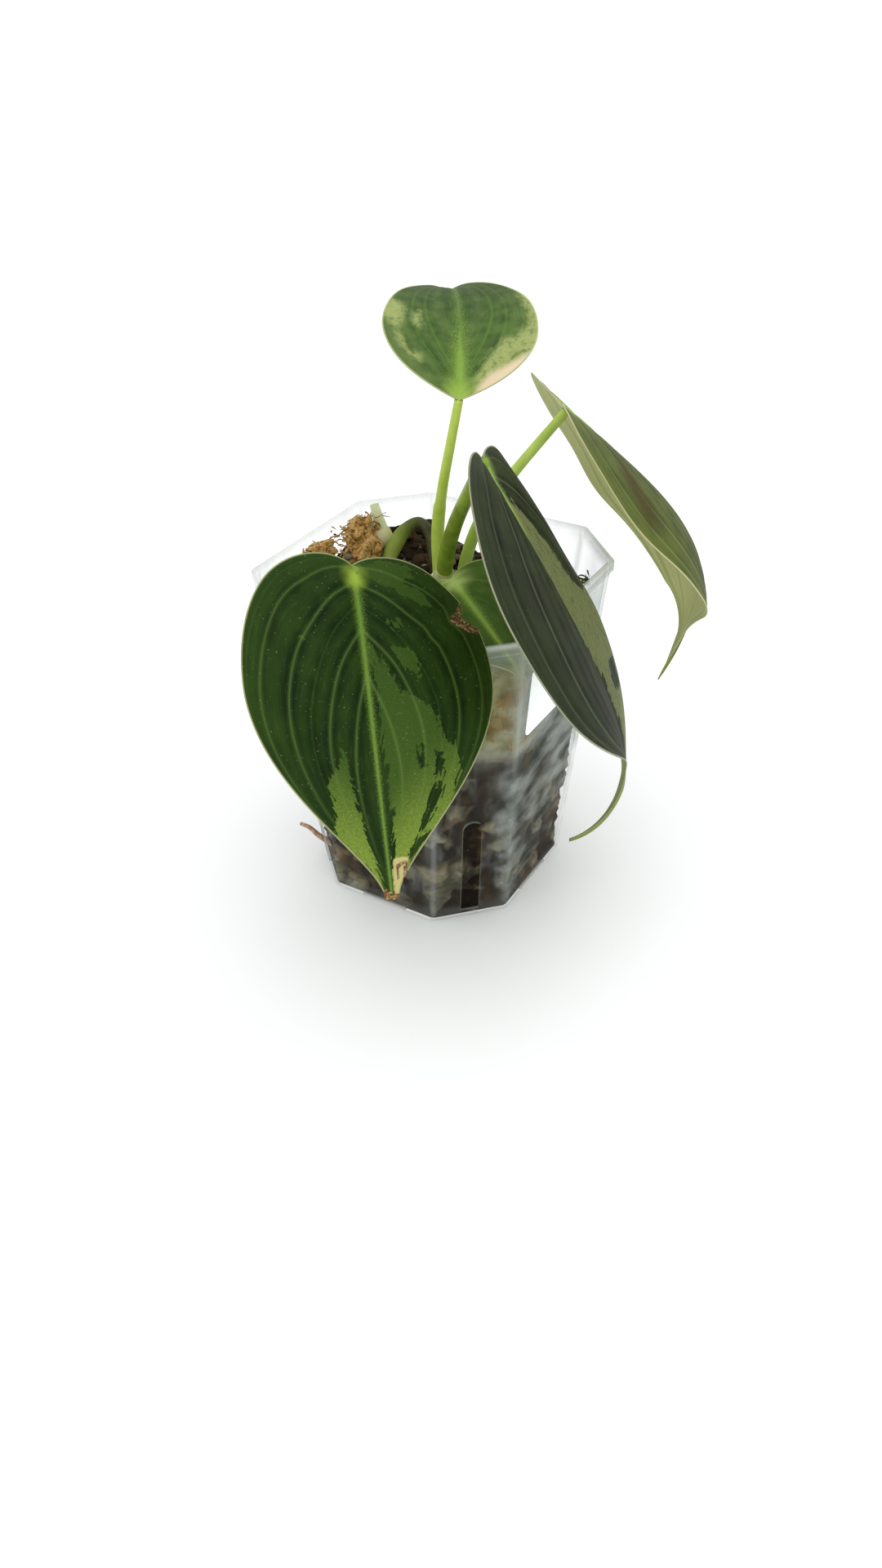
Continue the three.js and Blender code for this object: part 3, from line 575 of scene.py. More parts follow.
def bladeMaterial(name, look):
    # Living blade under fine down: matt and almost without shine, so that its dark green looks deep.
    # Masks are smooth steps over distances in millimetres, and each lays one tone over those before it.
    material, tree, shader = newMaterial(name, Roughness=0.6, Specular_IOR_Level=0.08, Sheen_Tint="#dfe6cf",
                                         Sheen_Weight=look["sheen"], Sheen_Roughness=0.5)
    keys = ("veinGap", "ribGap", "edgeGap", "share", "along", "fromJoint", "under", "pale", "cream", "brown")
    field = {key: addNode(tree, "Attribute", {}, 2, attribute_name=key) for key in keys}
    flat = addNode(tree, "Attribute", {}, 1, attribute_name="flat")
    grain = addNode(tree, "Attribute", {}, 1, attribute_name="grain")
    threads = addNode(tree, "VectorMath", {0: grain, 1: (1.0, 0.07, 1.0)}, operation="MULTIPLY")
    blocks = addNode(tree, "VectorMath", {0: grain, 1: (1.0, 0.3, 1.0)}, operation="MULTIPLY")
    blocks = addNode(tree, "TexVoronoi", {"Vector": blocks, "Scale": 1 / 1.1}, 1, distance="CHEBYCHEV")
    field["block"] = addNode(tree, "SeparateColor", {0: blocks})
    field["flatY"] = addNode(tree, "SeparateXYZ", {0: flat}, 1)

    # Noises: what each lies on, its grain in millimetres, layers and roughness
    noises = {
        "cloud": (flat, look["cloud"], 2, 0.5), "speck": (flat, 0.55, 3, 0.7),
        "silk": (threads, 0.55, 3, 0.65), "ragged": (grain, 1.6, 3, 0.5), "mottle": (grain, 2.2, 4, 0.65),
        "jagged": (flat, 1.2, 4, 0.6), "scorch": (flat, 1.3, 3, 0.6), "flake": (flat, 0.7, 3, 0.6),
        "fleck": (flat, 0.7, 1, 0.5), "down": (flat, 0.3, 2, 0.5),
    }
    for key, (place, size, layers, rough) in noises.items():
        inputs = {"Vector": place, "Scale": 1 / size, "Detail": layers, "Roughness": rough}
        field[key] = addNode(tree, "TexNoise", inputs)

    # Sums: the midrib narrows by the root of the way along, and noise frays the edges of the marks
    sums = (
        ("patchEdge", "MULTIPLY_ADD", "block", 1.6, "pale"),
        ("patchEdge", "MULTIPLY_ADD", "ragged", 2.4, "patchEdge"),
        ("creamEdge", "MULTIPLY_ADD", "jagged", 1.6, "cream"),
        ("stainEdge", "MULTIPLY_ADD", "jagged", 0.64, "brown"),
        ("narrowing", "SQRT", "along"),
        ("ribWide", "MULTIPLY_ADD", "narrowing", -0.72 * look["ribWide"], look["ribWide"]),
        ("ribReach", "DIVIDE", "ribGap", "ribWide"),
        ("ribEdge", "MULTIPLY_ADD", "speck", 3.4, "ribReach"),
        ("lineGap", "MINIMUM", "veinGap", "ribGap"),
        ("grime", "MULTIPLY", "speck", 0.22),
    )
    for key, operation, *values in sums:
        inputs = {i: field.get(value, value) for i, value in enumerate(values)}
        field[key] = addNode(tree, "Math", inputs, operation=operation)

    # Masks: what each follows, where it is least and most, and its least and most
    soft, creamSoft, stainSoft = look["soft"], look["creamSoft"], look["brownSoft"]
    # The lighter haze midway between the veins is painted sheen on the quilted bulges.
    masks = {
        "deep": ("cloud", 0.35, 0.65, 0, 1), "edgeHaze": ("edgeGap", 11, 1, 0, 0.35),
        "low": ("along", 0.25, 0.75, 0, 0.5), "sheenBetweenVeins": ("veinGap", 0.8, 3.5, 0, 0.28),
        "silkPale": ("silk", 0.5, 0.75, 0, 0.1), "silkDark": ("silk", 0.48, 0.25, 0, 0.2),
        "nearJoint": ("share", 0.5, 0.1, 0, look["dimNear"]), "nearTip": ("share", 0.5, 0.92, 0, 1),
        "speckled": ("speck", 0.62, 0.48, 0, 0.35), "mottled": ("mottle", 0.5, 0.68, 0, look["mottle"]),
        "patch": ("patchEdge", 2 - soft, 2 + soft, 0, 0.92), "veinWide": ("veinGap", 1.1, 0.2, 0, 0.3),
        "veins": ("veinGap", 0.45, 0.05, 0, 0.6), "veinFade": ("share", 1.05, 0.4, 0, look["veinShow"]),
        "rib": ("ribEdge", 3.4, 1.7, 0, 0.5), "ribCore": ("ribReach", 0.8, 0.1, 0, 0.35),
        "ribTo": ("along", look["ribEnd"], look["ribEnd"] * 0.5, 0, 1), "ribFrom": ("flatY", -3, 0.5, 0, 1),
        "glow": ("fromJoint", look["glowReach"], 0.5, 0, 0.95), "onLine": ("lineGap", 3, 0.3, 0.4, 1),
        "cream": ("creamEdge", 0.8 - creamSoft, 0.8 + creamSoft, 0, 1),
        "scorched": ("scorch", 0.45, 0.62, 0, 1),
        "margin": ("edgeGap", 0.55, 0.2, 0, 1), "drip": ("along", 1, 1.12, 0, 0.85),
        "stain": ("stainEdge", 0.32 + stainSoft[0], 0.32 + stainSoft[1], 0, 0.9),
        "flakes": ("flake", 0.56, 0.64, 0, look["dry"]), "underVein": ("veinGap", 0.9, 0.3, 0, 0.5),
        "dots": ("fleck", 0.7, 0.76, 0, look["dots"]), "above": ("under", 0.5, 0.4, 0, 1),
    }
    mask = {"below": field["under"], "grime": field["grime"]}
    for key, (value, low, high, least, most) in masks.items():
        inputs = {0: field[value], 1: low, 2: high, 3: least, 4: most}
        mask[key] = addNode(tree, "MapRange", inputs, interpolation_type="SMOOTHSTEP")
    for key, operation, other in (
            ("veins", "ADD", "veinWide"), ("veins", "MULTIPLY", "veinFade"), ("rib", "ADD", "ribCore"),
            ("rib", "MULTIPLY", "ribFrom"), ("rib", "MULTIPLY", "ribTo"), ("glow", "MULTIPLY", "onLine"),
            ("flakes", "MULTIPLY", "stain"), ("dots", "MULTIPLY", "above")):
        mask[key] = addNode(tree, "Math", {0: mask[key], 1: mask[other]}, operation=operation)

    # Tones: each layer starts from its first tone, and each pair lays a tone over it by a mask. Patches,
    # stains and the underside are mixed first, and then go over the dark green.
    tones = {**look, "silk": "#0d1606", "flakes": "#c9c2b2", "grime": "#0f1a08", "dots": "#a9b98a"}
    layers = {
        "patch": ("pale", ("nearJoint", "haze"), ("nearTip", "paleTip"), ("speckled", "deep"),
                  ("mottled", "haze")),
        "stain": ("brown", ("scorched", "tan")),
        "below": ("under", ("underVein", "vein")),
        "blade": ("dark", ("deep", "deep"), ("edgeHaze", "haze"), ("low", "low"), ("sheenBetweenVeins", "haze"),
                  ("silkPale", "vein"), ("silkDark", "silk"), ("patch", "patch"), ("veins", "vein"),
                  ("rib", "rib"), ("glow", "glow"), ("cream", "cream"), ("margin", "margin"),
                  ("drip", "drip"), ("stain", "stain"), ("flakes", "flakes"), ("below", "below"),
                  ("grime", "grime"), ("dots", "dots")),
    }
    for layer, (first, *steps) in layers.items():
        tones[layer] = tones[first]
        for key, tone in steps:
            inputs = {0: mask[key], 6: tones[layer], 7: tones[tone]}
            tones[layer] = addNode(tree, "Mix", inputs, 2, data_type="RGBA")
    tree.links.new(tones["blade"], shader.inputs["Base Color"])
    bump = addNode(tree, "Bump", {"Height": field["down"], "Strength": 0.35, "Distance": 0.0001})
    tree.links.new(bump, shader.inputs["Normal"])
    return material


for leafName, ownLook in bladeLooks.items():
    look = {**plainLook, "low": ownLook["dark"], "drip": ownLook["margin"], **ownLook}
    material = bladeMaterial(f"velvet blade {leafName}", look)
    makeBlade(leafName, material, look)
    print("blade", leafName)


# Stalks, each along its path to a seat under its blade. Radii are at its foot and its end, and the sheath
# is a thicker foot, fullest on top.
stalks = {
    "front": {
        "path": [(-7.5, 10, 97), (-6.8, 3.6, 105), (-2.6, -4, 112), (4, -20, 121), (8.5, -39, 129.5)],
        "radii": (2.5, 1.6), "tones": ("#7f9a3a", "#93ad4c"), "sheath": 0,
    },
    "right": {
        "path": [(-4, 12.6, 103), (-1.4, 11, 114), (6, 3.4, 128), (17.5, -9.5, 144)],
        "radii": (2.8, 1.7), "tones": ("#6c8020", "#8ba43a"), "sheath": 0,
    },
    "upper_right": {
        "path": [(0.5, 17, 101), (2, 18.5, 111), (7.5, 17.5, 125), (18, 16, 141)],
        "radii": (2.2, 1.4), "tones": ("#a8c152", "#b8d065"), "sheath": 0,
    },
    "back": {
        "path": [(-9, 18.5, 101.5), (-8.5, 17.2, 116), (-5.2, 14.8, 133), (-1.5, 14.5, 150)],
        "radii": (2.1, 1.4), "tones": ("#b0c94c", "#c2d565"), "sheath": 0.45,
    },
    "low": {"path": [(0.5, 9.6, 102)], "radii": (1.6, 1.4), "tones": ("#9ab552", "#a8c260"), "sheath": 0},
}


def seatOf(name):
    # Where a stalk ends: half the sinus behind the joint and 0.3 mm under the midrib's line
    shape = bladeShapes[name]
    stations, place, axes = midribOf(shape)
    at = int(np.argmin(np.abs(stations)))
    return place[at] - axes[at, :, 1] * shape["sinus"] / 2 - axes[at, :, 2] * 0.3


# Living stalks: smooth and moist, with a soft shine and a green that drifts between two tones
for name, stalk in stalks.items():
    material = speckledMaterial(f"stalk {name}", 5, stalk["tones"], Roughness=0.42, Specular_IOR_Level=0.25)
    low, high = stalk["radii"]
    points, faces, _ = tube(stalk["path"] + [tuple(seatOf(name))], lambda run, angle: (
        low + (high - low) * run
        + stalk["sheath"] * smoothStep(run, 0.45, 0.42) * (0.6 + 0.4 * np.cos(angle))))
    makePiece(f"stalk_{name}_skin", points, faces, material, f"stalk_{name}")
print("stalks")


def roundPiece(name, material, slot, node, path, foot, change=0.0, power=1, rings=0.0, swell=0.0, tint=None):
    # A tube with a radius of foot + change * run^power, low rings by a cosine and a swelling by a smooth
    # step past its middle. Tint is where its colours along the run start and end.
    points, faces, runs = tube(path, lambda run, angle: (
        foot + change * run ** power + rings * np.cos(14 * run) + swell * smoothStep(run, 0.5, 0.8)))
    attributes = {"run": tint[0] + (tint[1] - tint[0]) * runs} if tint else None
    makePiece(name, points, faces, material, node, attributes)


stem = {"path": [(-7, 16, 80), (-5.7, 14.7, 92), (-4.5, 13.5, 103.5)],
        "foot": 5.1, "change": -0.8, "rings": 0.15}
shoot = {"path": [(-35, 27.5, 96), (-38, 28.6, 105.5), (-41, 30, 111), (-43.4, 31.6, 114.6)],
         "foot": 3.2, "change": -1.6}
aerialRoot = {
    "path": [(-10.5, 20, 98), (-15, 25, 103.5), (-19.8, 30, 109.6), (-24.6, 31, 112), (-28.6, 28.6, 109.4),
             (-31, 24, 104), (-32, 19, 97)],
    "foot": 2.0, "swell": 0.8, "tint": (0, 0.8),
}
rootStub = {"path": [(-41.5, 17, 100), (-39, 20.5, 103.5), (-36, 24, 106), (-33.2, 27, 107.6)],
            "foot": 3.6, "change": -0.9, "power": 3, "tint": (1.06, 0.8)}
slotRoot = {"path": [(-27.5, -28.5, 8.5), (-32, -30.6, 12), (-37, -30.6, 14.5), (-41.5, -29.4, 13.5)],
            "foot": 1.15, "change": -0.5}
rootTones = [(0, "#2a2409"), (0.36, "#33330d"), (0.47, "#56611c"), (0.58, "#8fa33c"), (0.76, "#adba5c"),
             (0.86, "#d9d3a6"), (0.97, "#dfc6ad")]

# Stem tissue that has seen little light: pale and faintly waxy
paleStem = speckledMaterial("pale stem", 4, ("#c9cf98", "#e0e3bd"), Roughness=0.55)
roundPiece("stem_skin", paleStem, "pale_stem", "stem", **stem)
roundPiece("pale_shoot_skin", paleStem, "pale_stem", "pale_shoot", **shoot)
# Living root: corky brown where it is old, green further on and cream at its growing end
livingRoot = speckledMaterial("root", 2.5, ("#23230a", "#6d724a"), lengthwise=rootTones,
                              Roughness=0.6, Specular_IOR_Level=0.3)
roundPiece("aerial_root_skin", livingRoot, "root", "aerial_root", **aerialRoot)
roundPiece("root_stub", livingRoot, "root", None, **rootStub)
# Dead root: dull, papery and straw brown
dryRoot = speckledMaterial("dry root", 2, ("#8a6143", "#c4a184"), Roughness=0.8)
roundPiece("slot_root_skin", dryRoot, "root", "slot_root", **slotRoot)
print("stem and roots")


# Potting mix, measured in millimetres: the level in the middle and its fall along x and y, the height of
# its lumps, the size of its chips and grit, how far they stand out, and where its underside lies
mix = {"level": 90, "tilt": (-0.26, 0.14), "lump": 1.1, "chip": 8.5, "grit": 2.6,
       "chipRise": 1.5, "gritRise": 0.6, "under": 1.25}


def mixTop(x, y):
    # A tilted plane with low lumps from three crossed waves
    lumps = np.sin(x / 6.1 + 0.8) * np.cos(y / 7.3) + 0.7 * np.sin((x + 1.7 * y) / 8.9 + 2.1)
    lumps = lumps + 0.5 * np.cos((1.3 * x - y) / 4.7)
    return mix["level"] + mix["tilt"][0] * x + mix["tilt"][1] * y + mix["lump"] * lumps


# Pot: an eight-sided clear cup with a band round its rim, a slot in each cut corner and a notch under
# each wall. Halves are from the middle to a flat side.
pot = {
    "height": 115, "baseHalf": 39.2, "topHalf": 49.1, "cut": 19, "wall": 1.0, "floor": 1.2, "bend": 3.0,
    "lipHalf": 50, "lipHeight": 3.5, "slotWidth": 6.6, "slotFoot": 3.5, "slotTop": 45,
    "notchHalf": 8.5, "notchTop": 2,
}


def potHalf(z):
    # Half the width of the wall's outside, which grows evenly from the base to the band
    return pot["baseHalf"] + (pot["topHalf"] - pot["baseHalf"]) * z / (pot["height"] - pot["lipHeight"])


def eightSides(half, inset, perSide=12):
    # Points round a square with cut corners: five on a parabola round each of its eight bends, and the
    # rest evenly along the side to the next
    cut = pot["cut"] - inset * (2 - 2 ** 0.5)
    inner = half - cut
    corners = np.array([(half, -inner), (half, inner), (inner, half), (-inner, half),
                        (-half, inner), (-half, -inner), (-inner, -half), (inner, -half)], float)
    leg = pot["bend"] * np.tan(np.pi / 8)
    t = np.linspace(0, 1, 5)[:, None]
    line = []
    for i, corner in enumerate(corners):
        before, after = corners[i - 1], corners[(i + 1) % 8]
        toBefore = (before - corner) / np.linalg.norm(before - corner)
        toAfter = (after - corner) / np.linalg.norm(after - corner)
        start, end = corner + toBefore * leg, corner + toAfter * leg
        line.append((1 - t) ** 2 * start + 2 * t * (1 - t) * corner + t ** 2 * end)
        line.append(end + (after - toAfter * leg - end) * np.linspace(0, 1, perSide)[1:-1, None])
    return np.vstack(line)


# The pot's profile, as half width, height and inset, from under the floor up, over the rim and back down
top, lip, wall, floorTop = pot["height"], pot["lipHalf"], pot["wall"], pot["floor"]
bandFoot, mouth = top - pot["lipHeight"], pot["topHalf"] - wall
profile = [(pot["baseHalf"] * share, 0, 0) for share in (0.55, 0.8, 0.97)] + [(potHalf(0.6), 0.6, 0)]
profile += [(potHalf(z), z, 0) for z in np.linspace(2, bandFoot - 0.2, 40)]
profile += [(lip - 0.25, bandFoot, 0), (lip, bandFoot + 0.3, 0), (lip, top - 0.4, 0)]
profile += [(lip - 0.15, top - 0.1, 0), (lip - 0.45, top, 0.3)]
profile += [(mouth, top - 0.3, wall), (mouth, bandFoot, wall)]
profile += [(potHalf(z) - wall, z, wall) for z in np.linspace(bandFoot - 2, floorTop + 0.4, 20)]
profile += [((potHalf(floorTop) - wall) * share, floorTop, wall) for share in (0.97, 0.8, 0.55)]
rings = []
for half, z, inset in profile:
    flat = eightSides(half, inset)
    rings.append(np.column_stack([flat, np.full(len(flat), z)]))
points = np.vstack(rings + [(0, 0, 0), (0, 0, floorTop)])
faces = cappedFaces(len(rings), len(rings[0]))

# Clear plastic: thin and smooth, seen mostly by what lies on it. The alpha is how much that covers: a
# faint mist everywhere, scratches, painted grey shade on the right wall, painted glints in the bends and a
# film of dried water.
plastic, tree, shader = newMaterial("clear plastic", Roughness=0.16, Specular_IOR_Level=0.22)
place = addNode(tree, "TexCoord", {}, "Object")
place = addNode(tree, "VectorMath", {0: place, "Scale": 1000.0}, operation="SCALE")
keys = ("streaks", "rightWallShade", "bend", "film")
wearAndPaintedLight = {key: addNode(tree, "Attribute", {}, 2, attribute_name=key) for key in keys}
# Noise: grains to the millimetre each way, turn about x, layers, roughness, and its range before and after
for key, grains, tilt, layers, rough, low, high, least, most in (
        ("mist", (0.12, 0.12, 0.035), 0, 4, 0.6, 0.52, 0.72, 0.01, 0.1),
        ("scratch", (0.14, 0.055, 0.12), 0.7, 3, 0.55, 0.44, 0.66, 0.05, 0.58),
        ("wisp", (0.16, 0.16, 0.16), 0, 5, 0.6, 0.3, 0.65, 0.12, 0.42),
        ("smear", (0.11, 0.11, 0.11), 0, 4, 0.65, 0.5, 0.6, 0, 1)):
    drawn = addNode(tree, "Mapping", {0: place, 2: (tilt, 0, 0), 3: grains})
    noise = addNode(tree, "TexNoise", {"Vector": drawn, "Scale": 1.0, "Detail": layers, "Roughness": rough})
    wearAndPaintedLight[key] = addNode(tree, "MapRange", {0: noise, 1: low, 2: high, 3: least, 4: most})
cover = wearAndPaintedLight["mist"]
for key, share in (("streaks", wearAndPaintedLight["scratch"]), ("rightWallShade", 0.16), ("bend", 0.5), ("film", wearAndPaintedLight["wisp"])):
    cover = addNode(tree, "Math", {0: wearAndPaintedLight[key], 1: share, 2: cover}, operation="MULTIPLY_ADD")
filmTone = addNode(tree, "Mix", {0: wearAndPaintedLight["smear"], 6: "#bfbe93", 7: "#b09659"}, 2, data_type="RGBA")
wearAndPaintedLight["shine"] = addNode(tree, "MapRange", {0: wearAndPaintedLight["bend"], 1: 0.9, 2: 1.2})
# The clear grey takes the dried film, painted grey shade, scratches, painted glints in the bends and a
# painted white shine on the rim
colour = "#dde2dd"
for key, tone in (("film", filmTone), ("rightWallShade", "#b7c0c0"), ("streaks", "#939c93"), ("bend", "#b3b9b2"),
                  ("shine", "#fbfdfb")):
    colour = addNode(tree, "Mix", {0: wearAndPaintedLight[key], 6: colour, 7: tone}, 2, data_type="RGBA")
tree.links.new(cover, shader.inputs["Alpha"])
tree.links.new(colour, shader.inputs["Base Color"])
# Cut plastic: a milky edge, half clear
slotEdge, _, _ = newMaterial("slot edge", Roughness=0.25, Alpha=0.5, Base_Color="#b9bdb0")


def cutOut(piece, outline, angle, near, far, material):
    # Cuts an upright outline, as (across, height), out of a wall that faces the angle, from near to far
    # from the middle; the cut faces get the material
    out, across = np.array([np.cos(angle), np.sin(angle), 0]), np.array([-np.sin(angle), np.cos(angle), 0])
    points = [out * reach + across * a + (0, 0, z) for reach in (near, far) for a, z in outline]
    number = len(outline)
    faces = [list(range(number))[::-1], list(range(number, 2 * number))]
    faces += [[j, (j + 1) % number, number + (j + 1) % number, number + j] for j in range(number)]
    mesh = bpy.data.meshes.new("cutter")
    mesh.from_pydata(np.asarray(points) * mm, [], faces)
    mesh.materials.append(material)
    cutter = bpy.data.objects.new("cutter", mesh)
    bpy.context.scene.collection.objects.link(cutter)
    step = piece.modifiers.new("cut", "BOOLEAN")
    step.operation = "DIFFERENCE"
    step.solver = "EXACT"
    step.material_mode = "TRANSFER"
    step.object = cutter
    made = bpy.data.meshes.new_from_object(piece.evaluated_get(bpy.context.evaluated_depsgraph_get()))
    piece.modifiers.clear()
    piece.data = made
    bpy.data.objects.remove(cutter)


# How strongly each mark lies on the pot, from 0 for none to 1, and past 1 where a painted white shine lies
# on the rim. Bends carry painted glints, strongest in the middle of each bend, on the band, up high and on
# the front right; the film hangs from the mix's top upwards, round the front corner; streaks are the
# scratches on the right wall below the mix's top, and above that top a painted grey shade lies on the wall.
x, y, z = points.T
aboveMix = z - mixTop(x, y) + 3 * layeredNoise(points, 7, 5)
# Painted glints in each bend, stronger higher up and towards the front right, and a painted shine on the rim
# band
bends = np.tile(np.concatenate([[0.3, 0.8, 1, 0.8, 0.3], np.zeros(10)]), 8 * len(rings))
bends = bends * (0.25 + 0.75 * smoothStep(z[:-2], 60, 90))
rimShine = {43: 0.5, 44: 0.7, 45: 0.5, 46: 1.2, 47: 1.4, 48: 1.2, 49: 0.6}
bands = np.repeat([rimShine.get(i, 0.12 if i < 6 else 0) for i in range(len(rings))], len(rings[0]))
bends = np.concatenate([np.maximum(bends * 0.8, bands), [0, 0]])
bends = bends * (0.4 + 0.6 * smoothStep(x - y, -45, 20))
film = smoothStep(aboveMix, -9, 2) * smoothStep(z, 112, 104) * smoothStep(x - y, 20, 60)
streaks = smoothStep(x, 36, 40) * smoothStep(y, -31, -23) * (0.25 + 0.75 * smoothStep(z - 1.1 * y, 8, 34))
streaks = streaks * smoothStep(z, 4, 16) * smoothStep(aboveMix, 1, -3)
# Painted grey shade on the right wall above the mix
rightWallShade = smoothStep(aboveMix, 2, 8) * smoothStep(x, 22, 40) * smoothStep(y, -34, -20)
potPiece = makePiece("pot_skin", points, faces, plastic, "pot",
                     {"rightWallShade": rightWallShade, "bend": bends, "film": film, "streaks": streaks})
cornerAt = (2 * potHalf(0) - pot["cut"]) / 2 ** 0.5
half, slotTop = pot["slotWidth"] / 2, pot["slotTop"]
slotOutline = [(-half, pot["slotFoot"]), (half, pot["slotFoot"])]
slotOutline += [(half * np.cos(a), slotTop - half + half * np.sin(a)) for a in np.linspace(0, np.pi, 13)]
half, notchTop = pot["notchHalf"], pot["notchTop"]
notchOutline = [(-half, -1), (half, -1), (half, notchTop), (-half, notchTop)]
for side in range(4):
    cutOut(potPiece, slotOutline, np.pi / 4 + side * np.pi / 2, cornerAt - 6, cornerAt + 9, slotEdge)
for side in range(4):
    cutOut(potPiece, notchOutline, side * np.pi / 2, pot["baseHalf"] - 2, pot["baseHalf"] + 3, slotEdge)
print("pot")


def chunks(points, size, seed):
    # The two nearest of one random point in each cell: how far they are, and a number for the nearest
    rng = np.random.default_rng(seed)
    seeds = rng.uniform(0.1, 0.9, (24, 24, 24, 3))
    tones = rng.uniform(0, 1, (24, 24, 24))
    scaled = points / size
    cell = np.floor(scaled).astype(int)
    near = np.full(len(points), 9.0)
    second = np.full(len(points), 9.0)
    tone = np.zeros(len(points))
    for shift in np.ndindex(3, 3, 3):
        at = cell + np.array(shift) - 1
        i, j, k = (at % 24).T
        gap = np.linalg.norm(at + seeds[i, j, k] - scaled, axis=1)
        closer = gap < near
        second = np.where(closer, near, np.minimum(second, gap))
        tone = np.where(closer, tones[i, j, k], tone)
        near = np.where(closer, gap, near)
    return near, second, tone


# The mix's skin runs out over the pot's floor, up inside the wall and back over the top. Its upper ring
# slides along the wall's slope until it meets the level of the top there.
foot = eightSides(potHalf(1.3) - 1.05, 1.05, 40)
brim = eightSides(potHalf(mix["level"]) - 1.1, 1.1, 40)
ring = brim
for _ in range(4):
    ring = foot + (brim - foot) * ((mixTop(*ring.T) - 1.6) / (mix["level"] - 1.6))[:, None]
centre = np.array([0, 0, mix["under"]])
footRing = np.column_stack([foot, np.full(len(foot), mix["under"])])
topRing = np.column_stack([ring, mixTop(*ring.T)])
below = centre + (footRing - centre) * np.linspace(0, 1, 12)[:-1, None, None]
side = footRing + (topRing - footRing) * np.linspace(0, 1, 96)[:, None, None]
cover = topRing * np.linspace(1, 0, 46)[1:, None, None]
cover[..., 2] = mixTop(cover[..., 0], cover[..., 1])
sheet = np.concatenate([below, side, cover])
points = sheet.reshape(-1, 3)

# Chips and grit stand out of it, by how near each point is to the middle of its grain
near, second, tone = chunks(points + 1.5 * layeredNoise(points, 5, 3)[:, None], mix["chip"], 4)
nearFine, secondFine, toneFine = chunks(points, mix["grit"], 9)
crack = smoothStep(second - near, 0, 0.5)
crackFine = smoothStep(secondFine - nearFine, 0, 0.4)
lift = mix["chipRise"] * crack * (1 - near) + mix["gritRise"] * crackFine
lift = lift + 0.6 * layeredNoise(points, 4.0, 6)
x, y, z = points.T
onCover = np.arange(len(points)) >= len(points) - cover.size // 3
sink = np.where(onCover, 0, np.minimum(0, lift - 2.1)) * smoothStep(z, 1.5, 4)
outward = points[:, :2] / np.linalg.norm(points[:, :2], axis=1)[:, None].clip(1e-6)
moved = np.column_stack([points[:, :2] + outward * sink[:, None], z + np.where(onCover, lift - 0.6, 0)])

# Shade behind the drain slots, which would otherwise show the mix too bright
slotAway = np.full(len(points), 9.0)
for angle in np.pi / 4 + np.arange(4) * np.pi / 2:
    across = np.abs(y * np.cos(angle) - x * np.sin(angle))
    facing = x * np.cos(angle) + y * np.sin(angle) > 20
    gap = np.maximum(across - pot["slotWidth"] / 2, z - pot["slotTop"])
    slotAway = np.where(facing, np.minimum(slotAway, gap), slotAway)
shade = 0.25 + 0.75 * smoothStep(slotAway, -1.5, 0.5)

# Potting mix: matt peat and bark with grey grit, each grain of its own tone, with painted shade almost black
# in the cracks between grains
mixStuff, tree, shader = newMaterial("potting mix", Roughness=0.85, Specular_IOR_Level=0.15)
grainTones = [(0, "#1c1308"), (0.3, "#2e2110"), (0.5, "#48371f"), (0.64, "#66533a"), (0.76, "#857f66"),
              (0.84, "#5c5f40"), (0.92, "#98947f"), (0.97, "#3a2c16")]
grainTone = addNode(tree, "Attribute", {}, 2, attribute_name="tone")
grainTone = addNode(tree, "ValToRGB", {0: grainTone}, stops=grainTones)
crackShade = addNode(tree, "Attribute", {}, 2, attribute_name="crack")
colour = addNode(tree, "Mix", {0: crackShade, 6: "#120c05", 7: grainTone}, 2, data_type="RGBA")
tree.links.new(colour, shader.inputs["Base Color"])
# The crack attribute is painted shade: nearly black in the gaps between grains and darker behind the drain
# slots
makePiece("potting_mix_skin", moved, gridFaces(len(sheet), len(foot), True), mixStuff,
          "potting_mix", {"tone": tone * 0.78 + toneFine * 0.22,
                          "crack": (0.25 + 0.75 * crack * (0.7 + 0.3 * crackFine)) * shade}, merge=0.0005)
print("potting mix")


def ballPoints(rows, columns):
    # A ball of radius 1, row by row from its top
    v = np.linspace(0, np.pi, rows)[:, None]
    u = np.linspace(0, 2 * np.pi, columns, endpoint=False)[None]
    return np.stack([np.sin(v) * np.cos(u), np.sin(v) * np.sin(u), np.cos(v) + 0 * u], -1).reshape(-1, 3)


def turnedBy(points, angle):
    # Points turned about the vertical: x cos - y sin, x sin + y cos
    x, y, z = np.moveaxis(points, -1, 0)
    return np.stack([x * np.cos(angle) - y * np.sin(angle), x * np.sin(angle) + y * np.cos(angle), z], -1)


def strands(starts, middles, ends, radius, sides=5, count=9):
    # Thin round fibres, each on a parabola, with a width that goes by the root of a sine to nothing at
    # both ends
    t = np.linspace(0, 1, count)[None, :, None]
    line = (1 - t) ** 2 * starts[:, None] + 2 * t * (1 - t) * middles[:, None] + t ** 2 * ends[:, None]
    along = np.gradient(line, axis=1)
    along /= np.linalg.norm(along, axis=2, keepdims=True)
    across = np.cross(along, np.array([0.31, 0.17, 0.93]))
    across /= np.linalg.norm(across, axis=2, keepdims=True)
    over = np.cross(across, along)
    angle = (np.arange(sides) * 2 * np.pi / sides)[None, None, :, None]
    wide = (radius[:, None] * np.sin(np.pi * np.linspace(0, 1, count))[None] ** 0.5)[..., None, None]
    ring = line[:, :, None] + wide * (np.cos(angle) * across[:, :, None] + np.sin(angle) * over[:, :, None])
    return ring.reshape(-1, 3), copiedFaces(gridFaces(count, sides, True), len(starts), count * sides)


def crumbs(centres, sizes, turns, seed):
    # Rough lumps: a squared-off ball of 6 x 8 points for each, drawn out, turned and pushed about by noise
    ball = ballPoints(6, 8)
    ball = np.sign(ball) * np.abs(ball) ** 0.75
    points = turnedBy(ball[None] * sizes[:, None], turns[:, None]) + centres[:, None]
    points = points.reshape(-1, 3)
    points += 0.22 * np.stack([smoothNoise(points, 0.9, seed + i) for i in range(3)], -1)
    return points, copiedFaces(gridFaces(6, 8, True, flip=True), len(centres), len(ball))


